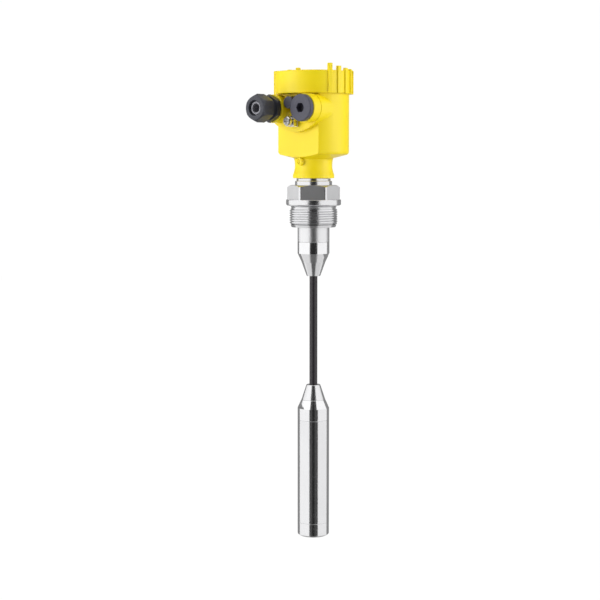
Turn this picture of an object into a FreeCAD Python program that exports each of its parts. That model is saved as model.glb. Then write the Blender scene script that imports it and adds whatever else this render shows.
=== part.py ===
import FreeCAD
import Part
import Sketcher
import math
import os
import types

# Driving sizes in millimetres; the underside of the fitting's collar is at height zero
sizes = {
    "collar_diameter": 55,
    "collar_height": 5.8,
    "edge_break": 0.5,
    "hex_across_flats": 46,
    "hex_height": 14.5,
    "lower_ring_step": 1.5,
    "lower_ring_height": 4.1,
    "seat_ring_step": 2.5,
    "seat_ring_height": 2.5,
    "swivel_gap": 0.3,
    "thread_diameter": 47.8,
    "thread_length": 18.5,
    "thread_lead_in": 1.6,
    "relief_depth": 2.3,
    "relief_width": 3.2,
    "stub_diameter": 32,
    "stub_length": 14.8,
    "wire_bore_diameter": 12,
    "head_spigot_diameter": 22.6,
    "head_spigot_length": 7.8,
    "joint_clearance": 0.2,
    "retaining_ring_width": 1.5,
    "retaining_ring_overlap": 2.7,
    "retaining_groove_depth": 1.6,
    "spigot_land": 1.6,
    "neck_seal_section": 2.2,
    "neck_seal_height": 8,
    "seal_squeeze_gap": 0.1,
    "upper_head_length": 11.6,
    "upper_shoulder_length": 8.5,
    "upper_clamp_length": 14.3,
    "upper_clamp_end_diameter": 13.6,
    "clamp_diameter": 24,
    "clamp_stem_diameter": 18,
    "clamp_stem_length": 6,
    "thrust_ring_width": 1.2,
    "cable_seal_length": 7.5,
    "wrench_across_flats": 27,
    "cable_diameter": 8,
    "cable_free_length": 110.3,
    "cable_clearance": 0.1,
    "lower_clamp_length": 15.1,
    "lower_clamp_end_diameter": 14,
    "lower_shoulder_length": 8.5,
    "sensor_head_length": 12,
    "sensor_diameter": 32,
    "sensor_wall": 1.5,
    "sensor_tube_length": 105.5,
    "sensor_spigot_length": 7,
    "front_ring_length": 13.9,
    "front_edge_radius": 2,
    "front_ring_wall": 1.8,
    "cell_length": 8.5,
    "cell_lip_width": 1.2,
    "cell_lip_height": 1,
    "cell_seal_section": 1.5,
    "clamp_ring_length": 5,
    "clamp_ring_bore": 17,
    "board_width": 21,
    "board_thickness": 1.6,
    "board_slot_depth": 3,
    "neck_bore_diameter": 29,
    "lip_flare": 2.1,
    "lip_height": 3.2,
    "neck_wall": 4.1,
    "neck_length": 19.7,
    "waist_height": 12.8,
    "neck_top_flare": 1,
    "shoulder_rise": 4.1,
    "shoulder_radius": 3.4,
    "body_diameter": 70.6,
    "body_height": 62,
    "body_wall": 4.3,
    "floor_thickness": 4,
    "floor_recess_depth": 5,
    "floor_recess_gap": 0.8,
    "lid_thread_step": 1.3,
    "lid_thread_height": 13,
    "flat_depth": 11.3,
    "flat_wall": 3.2,
    "entry_gap": 12.2,
    "entry_bore_diameter": 20.2,
    "entry_thread_reach": 11,
    "block_step": 0.4,
    "block_inset": 5.8,
    "block_lid_gap": 0.3,
    "boss_wall": 3.8,
    "boss_length": 10.5,
    "block_sag": 8.6,
    "terminal_drop": 12.5,
    "lock_drop": 3.4,
    "lock_boss_diameter": 7.2,
    "lock_boss_stand": 3.4,
    "lock_rib_width": 3.4,
    "lock_screw_diameter": 5,
    "lock_screw_length": 6.5,
    "lock_key_across_flats": 2.5,
    "lid_skirt_wall": 2.5,
    "lid_drop": 3.1,
    "lid_skirt_clearance": 0.6,
    "lid_thread_clearance": 0.4,
    "lid_seal_width": 2.2,
    "lid_seal_thickness": 2,
    "lid_seal_groove": 0.6,
    "lid_seal_gap": 0.3,
    "lid_top_thickness": 4.5,
    "lid_dish_depth": 0.8,
    "lid_rim_width": 6,
    "rib_width": 4.5,
    "rib_stand": 1.2,
    "rib_root": 0.3,
    "rib_rise_a": 6.6,
    "rib_rise_b": 4.2,
    "rib_rise_c": 2.55,
    "rib_rise_d": 1.9,
    "rib_rise_e": 0.95,
    "gasket_width": 0.8,
    "gland_flange_step": 1.9,
    "gland_flange_width": 5.5,
    "gland_nut_wall": 1.2,
    "gland_thread_length": 12,
    "gland_bore_step": 1.7,
    "gland_seat_wall": 2.3,
    "gland_seal_bore": 9,
    "gland_seal_length": 10,
    "gland_nose_step": 1.1,
    "gland_nose_length": 3.4,
    "gland_nut_gap": 4.2,
    "gland_nut_length": 15.6,
    "gland_nut_clearance": 0.3,
    "gland_front_width": 2.8,
    "gland_mouth_depth": 2.2,
    "gland_front_inset": 1,
    "gland_dome_length": 4.6,
    "plug_flange": 3.1,
    "plug_head_width": 4.7,
    "plug_chamfer": 1,
    "plug_gap": 0.3,
    "plug_key_across_flats": 10,
    "plug_key_depth": 6.5,
    "plug_seal_width": 2,
    "plug_seal_thickness": 1,
    "filter_tuck": 0.2,
    "filter_length": 10.5,
    "filter_rise": 5.7,
    "filter_stem_diameter": 5.6,
    "filter_stem_length": 5,
    "filter_vent_diameter": 2,
    "membrane_diameter": 8.4,
    "membrane_thickness": 0.8,
    "ground_width": 10.5,
    "ground_base_width": 1.8,
    "ground_gap": 0.3,
    "ground_clamp_length": 5.2,
    "ground_plate_width": 2,
    "ground_lip_width": 1.2,
    "ground_screw_diameter": 4,
    "ground_screw_depth": 5,
    "ground_washer_diameter": 8.4,
    "ground_washer_width": 1.6,
    "ground_head_diameter": 9,
    "ground_head_width": 3.6,
    "ground_slot_width": 1.2,
    "ground_slot_depth": 1.6,
    "cup_gap": 0.4,
    "cup_wall": 1.8,
    "cup_floor": 2,
    "cup_height": 25,
    "ledge_width": 1.6,
    "ledge_height": 15,
    "circuit_clearance": 0.2,
    "cover_thickness": 3,
    "pillar_diameter": 6.4,
    "pillar_inset": 4.1,
    "case_screw_diameter": 3,
    "case_screw_length": 10,
    "case_screw_head_diameter": 5.6,
    "case_screw_head_height": 2,
    "terminal_length": 26,
    "terminal_width": 13,
    "terminal_height": 11,
    "terminal_front": 6,
    "lever_side": 7,
    "lever_width": 5.4,
    "lever_length": 9.5,
    "lever_thickness": 3.2,
    "lever_gap": 0.3,
    "lever_pivot_inset": 2.4,
    "wire_hole_diameter": 3,
    "wire_hole_depth": 8,
    "wire_hole_height": 4,
    "contact_strip_length": 14,
    "contact_strip_width": 4,
    "contact_strip_height": 2.2,
    "contact_pin_diameter": 1.4,
    "contact_pin_height": 1.6,
    "contact_spacing": 3.2,
    "contact_front": 9,
}

document = FreeCAD.newDocument("transmitter")
sheet = document.addObject("Spreadsheet::Sheet", "sizes")
for row, (name, value) in enumerate(sizes.items(), 1):
    sheet.set(f"A{row}", name)
    sheet.set(f"B{row}", str(value))
    sheet.setAlias(f"B{row}", name)
document.recompute()


# A length that keeps its formula beside its value
class Size:
    def __init__(self, text, value):
        self.text = text
        self.value = value

    def __add__(self, other):
        other = asSize(other)
        return Size(f"({self.text} + {other.text})", self.value + other.value)

    def __radd__(self, other):
        return asSize(other) + self

    def __sub__(self, other):
        other = asSize(other)
        return Size(f"({self.text} - {other.text})", self.value - other.value)

    def __rsub__(self, other):
        return asSize(other) - self

    def __mul__(self, other):
        other = asSize(other)
        return Size(f"({self.text} * {other.text})", self.value * other.value)

    def __rmul__(self, other):
        return asSize(other) * self

    def __truediv__(self, other):
        other = asSize(other)
        return Size(f"({self.text} / {other.text})", self.value / other.value)

    def __neg__(self):
        return Size(f"(0 - {self.text})", -self.value)


def asSize(value):
    if isinstance(value, Size):
        return value
    number = round(float(value), 9)
    return Size(f"({number:.9f})", number)


def isZero(value):
    return not isinstance(value, Size) and abs(value) < 1e-9


d = types.SimpleNamespace(**{name: Size(f"sizes.{name}", value) for name, value in sizes.items()})


# Sketching
def sketchOn(body, plane, shift=(0, 0, 0)):
    sketch = body.newObject("Sketcher::SketchObject", "outline")
    feature = [f for f in body.Origin.OriginFeatures if f.Role == plane][0]
    sketch.AttachmentSupport = [(feature, "")]
    sketch.MapMode = "FlatFace"
    for axis, value in zip("xyz", shift):
        if not isZero(value):
            sketch.setExpression(f"AttachmentOffset.Base.{axis}", asSize(value).text)
    return sketch


def fix(sketch, geometry, end, x, y):
    for kind, axis, value in (("DistanceX", -2, x), ("DistanceY", -1, y)):
        if isZero(value):
            sketch.addConstraint(Sketcher.Constraint("PointOnObject", geometry, end, axis))
            continue
        value = asSize(value)
        index = sketch.addConstraint(Sketcher.Constraint(kind, -1, 1, geometry, end, value.value))
        sketch.setExpression(f"Constraints[{index}]", value.text)


def polygon(points):
    def draw(sketch):
        first = sketch.GeometryCount
        count = len(points)
        spots = [FreeCAD.Vector(asSize(x).value, asSize(y).value, 0) for x, y in points]
        for i in range(count):
            sketch.addGeometry(Part.LineSegment(spots[i], spots[(i + 1) % count]), False)
        for i in range(count):
            after = first + (i + 1) % count
            sketch.addConstraint(Sketcher.Constraint("Coincident", first + i, 2, after, 1))
        for i, (x, y) in enumerate(points):
            fix(sketch, first + i, 1, x, y)
    return draw


def circle(x, y, radius):
    def draw(sketch):
        centre = FreeCAD.Vector(asSize(x).value, asSize(y).value, 0)
        made = Part.Circle(centre, FreeCAD.Vector(0, 0, 1), radius.value)
        geometry = sketch.addGeometry(made, False)
        index = sketch.addConstraint(Sketcher.Constraint("Radius", geometry, radius.value))
        sketch.setExpression(f"Constraints[{index}]", radius.text)
        fix(sketch, geometry, 3, x, y)
    return draw


def flattened(radius, flat):
    def draw(sketch):
        angle = math.asin(flat.value / radius.value)
        made = Part.Circle(FreeCAD.Vector(0, 0, 0), FreeCAD.Vector(0, 0, 1), radius.value)
        arc = sketch.addGeometry(Part.ArcOfCircle(made, -angle, math.pi + angle), False)
        half = radius.value * math.cos(angle)
        ends = [FreeCAD.Vector(-half, -flat.value, 0), FreeCAD.Vector(half, -flat.value, 0)]
        line = sketch.addGeometry(Part.LineSegment(ends[0], ends[1]), False)
        sketch.addConstraint(Sketcher.Constraint("Coincident", arc, 3, -1, 1))
        index = sketch.addConstraint(Sketcher.Constraint("Radius", arc, radius.value))
        sketch.setExpression(f"Constraints[{index}]", radius.text)
        sketch.addConstraint(Sketcher.Constraint("Coincident", arc, 2, line, 1))
        sketch.addConstraint(Sketcher.Constraint("Coincident", line, 2, arc, 1))
        for end in (1, 2):
            index = sketch.addConstraint(Sketcher.Constraint("DistanceY", -1, 1, line, end, -flat.value))
            sketch.setExpression(f"Constraints[{index}]", (-flat).text)
    return draw


def hexagon(x, y, across, turn=0):
    corners = []
    for k in range(6):
        angle = math.radians(turn + 60 * k)
        corner = across / math.sqrt(3)
        corners.append((x + corner * math.cos(angle), y + corner * math.sin(angle)))
    return polygon(corners)


def box(x0, x1, y0, y1):
    return polygon([(x0, y0), (x1, y0), (x1, y1), (x0, y1)])


def turnedBox(angle, r0, r1, half):
    c = math.cos(math.radians(angle))
    s = math.sin(math.radians(angle))
    corners = [(r0, -half), (r1, -half), (r1, half), (r0, half)]
    return polygon([(r * c - w * s, r * s + w * c) for r, w in corners])


# One physical piece with its features
class Piece:
    def __init__(self, label):
        self.body = document.addObject("PartDesign::Body", label)
        self.body.Label = label

    def feature(self, kind, sketch):
        made = self.body.newObject(f"PartDesign::{kind}", kind.lower())
        made.Profile = sketch
        sketch.Visibility = False
        self.body.Tip = made
        return made

    def turn(self, shapes, along="Z", x=0, z=0, cut=False):
        if along == "Z":
            sketch = sketchOn(self.body, "XZ_Plane")
        else:
            sketch = sketchOn(self.body, "XY_Plane", (x, 0, z))
        for draw in shapes if isinstance(shapes, list) else [shapes]:
            draw(sketch)
        made = self.feature("Groove" if cut else "Revolution", sketch)
        made.ReferenceAxis = (sketch, ["V_Axis"])
        made.Angle = 360
        return self

    def pad(self, plane, shapes, start, length, cut=False):
        sketch = sketchOn(self.body, plane, (0, 0, start))
        for draw in shapes if isinstance(shapes, list) else [shapes]:
            draw(sketch)
        made = self.feature("Pocket" if cut else "Pad", sketch)
        made.setExpression("Length", asSize(length).text)
        return self

    def rise(self, shapes, low, high):
        return self.pad("XY_Plane", shapes, low, high - low)

    def sink(self, shapes, high, low):
        return self.pad("XY_Plane", shapes, high, high - low, cut=True)

    def forward(self, shapes, near, far):
        return self.pad("XZ_Plane", shapes, near, far - near)

    def drill(self, shapes, far, near):
        return self.pad("XZ_Plane", shapes, far, far - near, cut=True)

    def round(self, radius, test):
        document.recompute()
        base = self.body.Tip
        names = [f"Edge{i}" for i, e in enumerate(base.Shape.Edges, 1) if test(e)]
        made = self.body.newObject("PartDesign::Fillet", "round")
        made.Base = (base, names)
        made.setExpression("Radius", radius.text)
        self.body.Tip = made
        return self


def ringEdge(radius, height):
    def test(edge):
        curve = edge.Curve
        if curve.TypeId != "Part::GeomCircle":
            return False
        near = abs(curve.Radius - radius.value) < 0.01
        return near and abs(edge.CenterOfMass.z - height.value) < 0.01
    return test


def ring(label, inner, outer, low, high):
    return Piece(label).turn(polygon([(inner, low), (outer, low), (outer, high), (inner, high)]))


pieces = []

# Heights up the axis
collarTop = d.collar_height
hexTop = collarTop + d.hex_height
lowerRingTop = hexTop + d.lower_ring_height
seatTop = lowerRingTop + d.seat_ring_height
housingLow = seatTop + d.swivel_gap
neckTop = housingLow + d.neck_length
bodyLow = neckTop + d.shoulder_rise
bodyTop = bodyLow + d.body_height
rimTop = bodyTop + d.lid_thread_height
floor = bodyLow + d.floor_thickness
recessFloor = floor - d.floor_recess_depth
lidLow = bodyTop - d.lid_drop
entryR = d.entry_bore_diameter / 2
bossR = entryR + d.boss_wall
blockR = bossR + d.block_step
entryZ = lidLow - d.block_lid_gap - blockR
terminalZ = entryZ - d.terminal_drop
filterZ = entryZ + d.filter_rise
lockZ = neckTop - d.lock_drop
threadTop = -d.relief_width
threadLow = threadTop - d.thread_length
stubLow = threadLow - d.stub_length

# Radii shared between neighbours
neckBoreR = d.neck_bore_diameter / 2
neckR = neckBoreR + d.neck_wall
seatRingR = neckBoreR + d.seat_ring_step
lowerRingR = seatRingR + d.lower_ring_step
keeperOutR = neckBoreR + d.retaining_ring_overlap
bodyR = d.body_diameter / 2
rimR = bodyR - d.lid_thread_step
flatY = bodyR - d.flat_depth
blockReach = bodyR - d.block_inset
bossReach = blockReach + d.boss_length
halfEntry = bossR + d.entry_gap / 2
lockReach = neckR + d.lock_boss_stand
glandFlats = d.entry_bore_diameter + d.gland_flange_step * 2

# Threaded process fitting: turned ring, collar, thread and stub in one piece with a milled hexagon
e = d.edge_break
spigotR = neckBoreR - d.swivel_gap
boreR = d.wire_bore_diameter / 2
counterR = d.head_spigot_diameter / 2 + d.joint_clearance
counterTop = stubLow + d.head_spigot_length + d.joint_clearance
keeperLow = recessFloor + d.swivel_gap
keeperTop = keeperLow + d.retaining_ring_width
spigotTop = keeperTop + d.spigot_land
keeperR = spigotR - d.retaining_groove_depth
sealLow = housingLow + d.neck_seal_height
sealTop = sealLow + d.neck_seal_section + d.joint_clearance
sealFloorR = neckBoreR - d.seal_squeeze_gap - d.neck_seal_section
fitting = Piece("threaded_fitting")
fitting.turn(polygon([
    (counterR, stubLow),
    (d.stub_diameter / 2 - e, stubLow),
    (d.stub_diameter / 2, stubLow + e),
    (d.stub_diameter / 2, threadLow),
    (d.thread_diameter / 2 - d.thread_lead_in, threadLow),
    (d.thread_diameter / 2, threadLow + d.thread_lead_in),
    (d.thread_diameter / 2, threadTop),
    (d.thread_diameter / 2 - d.relief_depth, threadTop),
    (d.thread_diameter / 2 - d.relief_depth, 0),
    (d.collar_diameter / 2 - e, 0),
    (d.collar_diameter / 2, e),
    (d.collar_diameter / 2, collarTop - e),
    (d.collar_diameter / 2 - e, collarTop),
    (lowerRingR, collarTop),
    (lowerRingR, lowerRingTop - e),
    (lowerRingR - e, lowerRingTop),
    (seatRingR, lowerRingTop),
    (seatRingR, seatTop),
    (spigotR, seatTop),
    (spigotR, sealLow),
    (sealFloorR, sealLow),
    (sealFloorR, sealTop),
    (spigotR, sealTop),
    (spigotR, keeperLow - d.joint_clearance / 2),
    (keeperR, keeperLow - d.joint_clearance / 2),
    (keeperR, keeperTop + d.joint_clearance / 2),
    (spigotR, keeperTop + d.joint_clearance / 2),
    (spigotR, spigotTop),
    (boreR, spigotTop),
    (boreR, counterTop),
    (counterR, counterTop),
]))
fitting.rise(hexagon(0, 0, d.hex_across_flats, -22.5), collarTop, hexTop)
hexR = d.hex_across_flats / 2
hexOut = d.hex_across_flats * 0.64
hexFall = (hexOut - hexR) * math.tan(math.radians(30))
fitting.turn(polygon([(hexR, hexTop), (hexOut, hexTop - hexFall), (hexOut, hexTop)]), cut=True)
pieces.append(fitting)

# Seal and keeper that hold the housing on the fitting's spigot
sealR = d.neck_seal_section / 2
seal = Piece("neck_seal")
seal.turn(circle(sealFloorR + sealR, sealLow + d.joint_clearance / 2 + sealR, sealR))
pieces.append(seal)
pieces.append(ring("retaining_ring", keeperR + d.joint_clearance / 2, keeperOutR, keeperLow, keeperTop))

# Upper cable head under the fitting
headR = d.stub_diameter / 2
clampR = d.clamp_diameter / 2
stemR = d.clamp_stem_diameter / 2
chamberR = stemR + d.joint_clearance
chamberLong = d.clamp_stem_length + d.thrust_ring_width + d.cable_seal_length
cableR = d.cable_diameter / 2
cableHoleR = cableR + d.cable_clearance
leadHoleR = cableR + d.cable_clearance * 5
headMid = stubLow - d.upper_head_length
headLow = headMid - d.upper_shoulder_length
upperChamber = headLow + chamberLong
upperHead = Piece("upper_cable_head")
upperHead.turn(polygon([
    (leadHoleR, stubLow + d.head_spigot_length),
    (d.head_spigot_diameter / 2, stubLow + d.head_spigot_length),
    (d.head_spigot_diameter / 2, stubLow),
    (headR - e, stubLow),
    (headR, stubLow - e),
    (headR, headMid),
    (clampR, headLow),
    (chamberR, headLow),
    (chamberR, upperChamber),
    (leadHoleR, upperChamber),
]))
wrench = d.wrench_across_flats / 2
upperHead.sink([turnedBox(18.5, wrench, headR * 1.2, headR), turnedBox(198.5, wrench, headR * 1.2, headR)], headMid, headLow)
pieces.append(upperHead)

upperTip = headLow - d.upper_clamp_length
upperStem = headLow + d.clamp_stem_length
upperClamp = Piece("upper_clamp_screw")
upperClamp.turn(polygon([
    (cableHoleR, upperStem),
    (stemR, upperStem),
    (stemR, headLow),
    (clampR, headLow),
    (d.upper_clamp_end_diameter / 2, upperTip + e),
    (d.upper_clamp_end_diameter / 2 - e, upperTip),
    (cableHoleR, upperTip),
]))
pieces.append(upperClamp)
upperThrust = upperStem + d.thrust_ring_width
pieces.append(ring("upper_thrust_ring", cableHoleR, stemR, upperStem, upperThrust))
pieces.append(ring("upper_cable_seal", cableHoleR, stemR, upperThrust, upperChamber))

# Cable that carries the sensor
lowerTip = upperTip - d.cable_free_length
lowerTop = lowerTip - d.lower_clamp_length
lowerStem = lowerTop - d.clamp_stem_length
lowerThrust = lowerStem - d.thrust_ring_width
lowerChamber = lowerTop - chamberLong
cable = Piece("suspension_cable")
cable.rise(circle(0, 0, cableR), lowerChamber, upperChamber)
pieces.append(cable)

# Lower clamp and sensor head
lowerClamp = Piece("lower_clamp_screw")
lowerClamp.turn(polygon([
    (cableHoleR, lowerStem),
    (stemR, lowerStem),
    (stemR, lowerTop),
    (clampR, lowerTop),
    (d.lower_clamp_end_diameter / 2, lowerTip - e),
    (d.lower_clamp_end_diameter / 2 - e, lowerTip),
    (cableHoleR, lowerTip),
]))
pieces.append(lowerClamp)
pieces.append(ring("lower_thrust_ring", cableHoleR, stemR, lowerThrust, lowerStem))
pieces.append(ring("lower_cable_seal", cableHoleR, stemR, lowerChamber, lowerThrust))

sensorR = d.sensor_diameter / 2
tubeR = sensorR - d.sensor_wall
sensorMid = lowerTop - d.lower_shoulder_length
tubeTop = sensorMid - d.sensor_head_length
tubeLow = tubeTop - d.sensor_tube_length
ringLow = tubeLow - d.front_ring_length
spigotLow = tubeTop - d.sensor_spigot_length
plugR = tubeR - d.joint_clearance / 2
halfBoard = d.board_width / 2
halfThick = d.board_thickness / 2
slotHalf = halfThick + d.joint_clearance / 2
sensorHead = Piece("sensor_head")
sensorHead.turn(polygon([
    (leadHoleR, spigotLow),
    (plugR, spigotLow),
    (plugR, tubeTop),
    (sensorR - e / 2, tubeTop),
    (sensorR, tubeTop + e / 2),
    (sensorR, sensorMid),
    (clampR, lowerTop),
    (chamberR, lowerTop),
    (chamberR, lowerChamber),
    (leadHoleR, lowerChamber),
]))
sensorHead.sink([turnedBox(61.5, wrench, sensorR * 1.2, sensorR), turnedBox(241.5, wrench, sensorR * 1.2, sensorR)], lowerTop, sensorMid)
boardTop = spigotLow + d.board_slot_depth
sensorHead.sink(box(-halfBoard - d.joint_clearance / 2, halfBoard + d.joint_clearance / 2, -slotHalf, slotHalf), boardTop, spigotLow)
pieces.append(sensorHead)

tube = Piece("sensor_tube")
tube.turn(polygon([
    (tubeR, tubeLow),
    (sensorR - e / 2, tubeLow),
    (sensorR, tubeLow + e / 2),
    (sensorR, tubeTop - e / 2),
    (sensorR - e / 2, tubeTop),
    (tubeR, tubeTop),
]))
pieces.append(tube)

# Ceramic cell in its front ring
cellR = plugR - d.front_ring_wall - d.joint_clearance / 2
cellHoleR = cellR + d.joint_clearance / 2
lipR = cellR - d.cell_lip_width
cellLow = ringLow + d.cell_lip_height
cellTop = cellLow + d.cell_length
clampRingTop = cellTop + d.clamp_ring_length
frontRing = Piece("sensor_front_ring")
frontRing.turn(polygon([
    (lipR, ringLow),
    (sensorR, ringLow),
    (sensorR, tubeLow - e / 2),
    (sensorR - e / 2, tubeLow),
    (plugR, tubeLow),
    (plugR, clampRingTop),
    (cellHoleR, clampRingTop),
    (cellHoleR, cellLow),
    (lipR, cellLow),
]))
frontRing.round(d.front_edge_radius, ringEdge(sensorR, ringLow))
pieces.append(frontRing)

cellSealR = d.cell_seal_section / 2
cellSealZ = cellLow + d.cell_length / 2
cellNotch = d.cell_seal_section - d.joint_clearance / 2
cell = Piece("measuring_cell")
cell.turn(polygon([
    (0, cellLow),
    (cellR, cellLow),
    (cellR, cellSealZ - cellSealR - d.joint_clearance),
    (cellR - cellNotch, cellSealZ - cellSealR - d.joint_clearance),
    (cellR - cellNotch, cellSealZ + cellSealR + d.joint_clearance),
    (cellR, cellSealZ + cellSealR + d.joint_clearance),
    (cellR, cellTop),
    (0, cellTop),
]))
pieces.append(cell)
cellSeal = Piece("cell_seal")
cellSeal.turn(circle(cellR - cellNotch + cellSealR, cellSealZ, cellSealR))
pieces.append(cellSeal)
pieces.append(ring("cell_clamp_ring", d.clamp_ring_bore / 2, cellR, cellTop, clampRingTop))

sensorBoard = Piece("sensor_board")
sensorBoard.rise(box(-halfBoard, halfBoard, -halfThick, halfThick), clampRingTop, boardTop)
pieces.append(sensorBoard)

# Moulded housing: turned bowl with a waisted neck, front flat, entry block and bosses
lipTop = housingLow + d.lip_height
waistZ = housingLow + d.waist_height
housing = Piece("housing_body")
housing.turn(polygon([
    (0, housingLow),
    (neckR + d.lip_flare, housingLow),
    (neckR + d.lip_flare, lipTop),
    *[(neckR + d.lip_flare * (1 - t) ** 2, lipTop + (waistZ - lipTop) * t) for t in (0.25, 0.5, 0.75)],
    (neckR, waistZ),
    (neckR + d.neck_top_flare * 0.25, waistZ + (neckTop - waistZ) * 0.5),
    (neckR + d.neck_top_flare, neckTop),
    (bodyR, bodyLow),
    (bodyR, bodyTop),
    (rimR, bodyTop),
    (rimR, rimTop - e),
    (rimR - e, rimTop),
    (0, rimTop),
]))
housing.round(d.shoulder_radius, ringEdge(bodyR, bodyLow))

# Front flat under the entries
housing.sink(box(-bodyR, bodyR, -bodyR * 1.1, -flatY), lidLow, neckTop)

# Entry block: round both entries, with a shallow arc below that runs off tangent to them
blockLow = entryZ - blockR - d.block_sag
drop = blockR.value + d.block_sag.value
arcR = (drop ** 2 + halfEntry.value ** 2 - blockR.value ** 2) / (2 * d.block_sag.value)
swing = math.atan2(halfEntry.value, arcR - drop)
endX = halfEntry + blockR * math.sin(swing)
endZ = entryZ - blockR * math.cos(swing)
arc = []
for step in range(-8, 9):
    turn = swing * step / 8
    share = (1 - math.cos(turn)) / (1 - math.cos(swing))
    arc.append((endX * (math.sin(turn) / math.sin(swing)), blockLow * (1 - share) + endZ * share))
blockBack = flatY - d.flat_wall
housing.forward(polygon([(halfEntry, entryZ + blockR), (-halfEntry, entryZ + blockR), *arc]), blockBack, blockReach)
housing.forward([circle(halfEntry, entryZ, blockR), circle(-halfEntry, entryZ, blockR)], 0, blockReach)
housing.forward([circle(halfEntry, entryZ, bossR), circle(-halfEntry, entryZ, bossR)], blockReach, bossReach)

# Locking-screw boss on the neck, with a rib up to the bowl
lockR = d.lock_boss_diameter / 2
housing.forward(circle(0, lockZ, lockR), 0, lockReach)
housing.forward(box(-d.lock_rib_width / 2, d.lock_rib_width / 2, lockZ, bodyLow), 0, lockReach)

lockHoleR = d.lock_screw_diameter / 2 + d.joint_clearance / 2
housing.drill(circle(0, lockZ, lockHoleR), lockReach, 0)

# Hollow for the electronics, open at the top
cavityR = bodyR - d.body_wall
cavityFlat = flatY - d.flat_wall
housing.sink(flattened(cavityR, cavityFlat), rimTop, floor)
housing.sink(circle(0, 0, cavityR), rimTop, bodyTop)
housing.sink(circle(0, 0, keeperOutR + d.floor_recess_gap), floor, recessFloor)
housing.sink(circle(0, 0, neckBoreR), recessFloor, housingLow)
housing.drill([circle(halfEntry, entryZ, entryR), circle(-halfEntry, entryZ, entryR)], bossReach, cavityFlat - d.joint_clearance)
housing.drill(circle(0, filterZ, d.filter_stem_diameter / 2 + d.joint_clearance / 2), blockReach, cavityFlat - d.joint_clearance)
groundR = d.ground_screw_diameter / 2
housing.drill(circle(0, terminalZ, groundR + d.joint_clearance), blockReach, blockReach - d.ground_screw_depth - d.joint_clearance)
pieces.append(housing)

lockScrew = Piece("locking_screw")
lockFar = lockReach - e
lockScrew.forward(circle(0, lockZ, d.lock_screw_diameter / 2), lockFar - d.lock_screw_length, lockFar)
lockScrew.drill(hexagon(0, lockZ, d.lock_key_across_flats, 30), lockFar, lockFar - d.lock_screw_length / 2)
pieces.append(lockScrew)

# Screw lid with two opposed groups of grip ribs
skirtR = bodyR + d.lid_skirt_clearance
lidR = skirtR + d.lid_skirt_wall
lidThreadR = rimR + d.lid_thread_clearance
lidStep = bodyTop + d.lid_thread_clearance
sealUnder = rimTop + d.lid_seal_gap
sealOver = sealUnder + d.lid_seal_thickness
ceiling = sealOver - d.lid_seal_groove
lidTop = ceiling + d.lid_top_thickness
lidSealOut = rimR - e
lidSealIn = lidSealOut - d.lid_seal_width
lid = Piece("housing_lid")
lid.turn(polygon([
    (0, ceiling),
    (lidSealIn - d.joint_clearance, ceiling),
    (lidSealIn - d.joint_clearance, sealOver),
    (lidSealOut + d.joint_clearance, sealOver),
    (lidSealOut + d.joint_clearance, ceiling),
    (lidThreadR, ceiling),
    (lidThreadR, lidStep),
    (skirtR, lidStep),
    (skirtR, lidLow),
    (lidR - e, lidLow),
    (lidR, lidLow + e),
    (lidR, lidTop - e),
    (lidR - e, lidTop),
    (lidR - d.lid_rim_width, lidTop),
    (lidR - d.lid_rim_width - d.lid_dish_depth, lidTop - d.lid_dish_depth),
    (0, lidTop - d.lid_dish_depth),
]))
ribOut = lidR + d.rib_stand
ribIn = skirtR + d.rib_root
ribs = [(-26, d.rib_rise_a), (-10.7, d.rib_rise_b), (4.6, d.rib_rise_c), (20, d.rib_rise_d), (35.3, d.rib_rise_e)]
for angle, rise in ribs:
    both = [turnedBox(angle + half, ribIn, ribOut, d.rib_width / 2) for half in (0, 180)]
    lid.rise(both, lidLow, lidTop + rise)
pieces.append(lid)
pieces.append(ring("lid_seal", lidSealIn, lidSealOut, sealUnder, sealOver))

# Cable gland in the left entry
glandX = -halfEntry
flangeNear = bossReach + d.gasket_width
flangeFar = flangeNear + d.gland_flange_width
threadFar = flangeFar + d.gland_thread_length
shankR = entryR - d.joint_clearance
nutThreadR = glandFlats / 2 - d.gland_nut_wall
glandThreadR = nutThreadR - d.gland_nut_clearance
seatR = glandThreadR - d.gland_seat_wall
gasket = Piece("gland_gasket")
gasket.turn(polygon([
    (shankR + d.joint_clearance, -bossReach),
    (glandFlats / 2, -bossReach),
    (glandFlats / 2, -flangeNear),
    (shankR + d.joint_clearance, -flangeNear),
]), "Y", glandX, entryZ)
pieces.append(gasket)
shankNear = bossReach - d.entry_thread_reach
sealBoreR = d.gland_seal_bore / 2
glandBoreR = sealBoreR + d.gland_bore_step
nutNear = flangeFar + d.gland_nut_gap
nutFar = nutNear + d.gland_nut_length
noseFar = nutFar - d.gland_mouth_depth
noseNear = noseFar - d.gland_nose_length
sealNear = noseNear - d.gland_seal_length
seatFar = sealNear - d.gland_nut_clearance
gland = Piece("gland_body")
gland.turn(polygon([
    (glandBoreR, -shankNear),
    (shankR, -shankNear),
    (shankR, -flangeNear),
    (glandFlats / 2, -flangeNear),
    (glandFlats / 2, -flangeFar),
    (glandThreadR, -flangeFar),
    (glandThreadR, -threadFar),
    (seatR, -threadFar),
    (seatR, -seatFar),
    (glandBoreR, -seatFar),
]), "Y", glandX, entryZ)
gland.forward(hexagon(glandX, entryZ, glandFlats, 30), flangeNear, flangeFar)
gland.drill(circle(glandX, entryZ, glandBoreR), flangeFar, shankNear)
pieces.append(gland)

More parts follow.
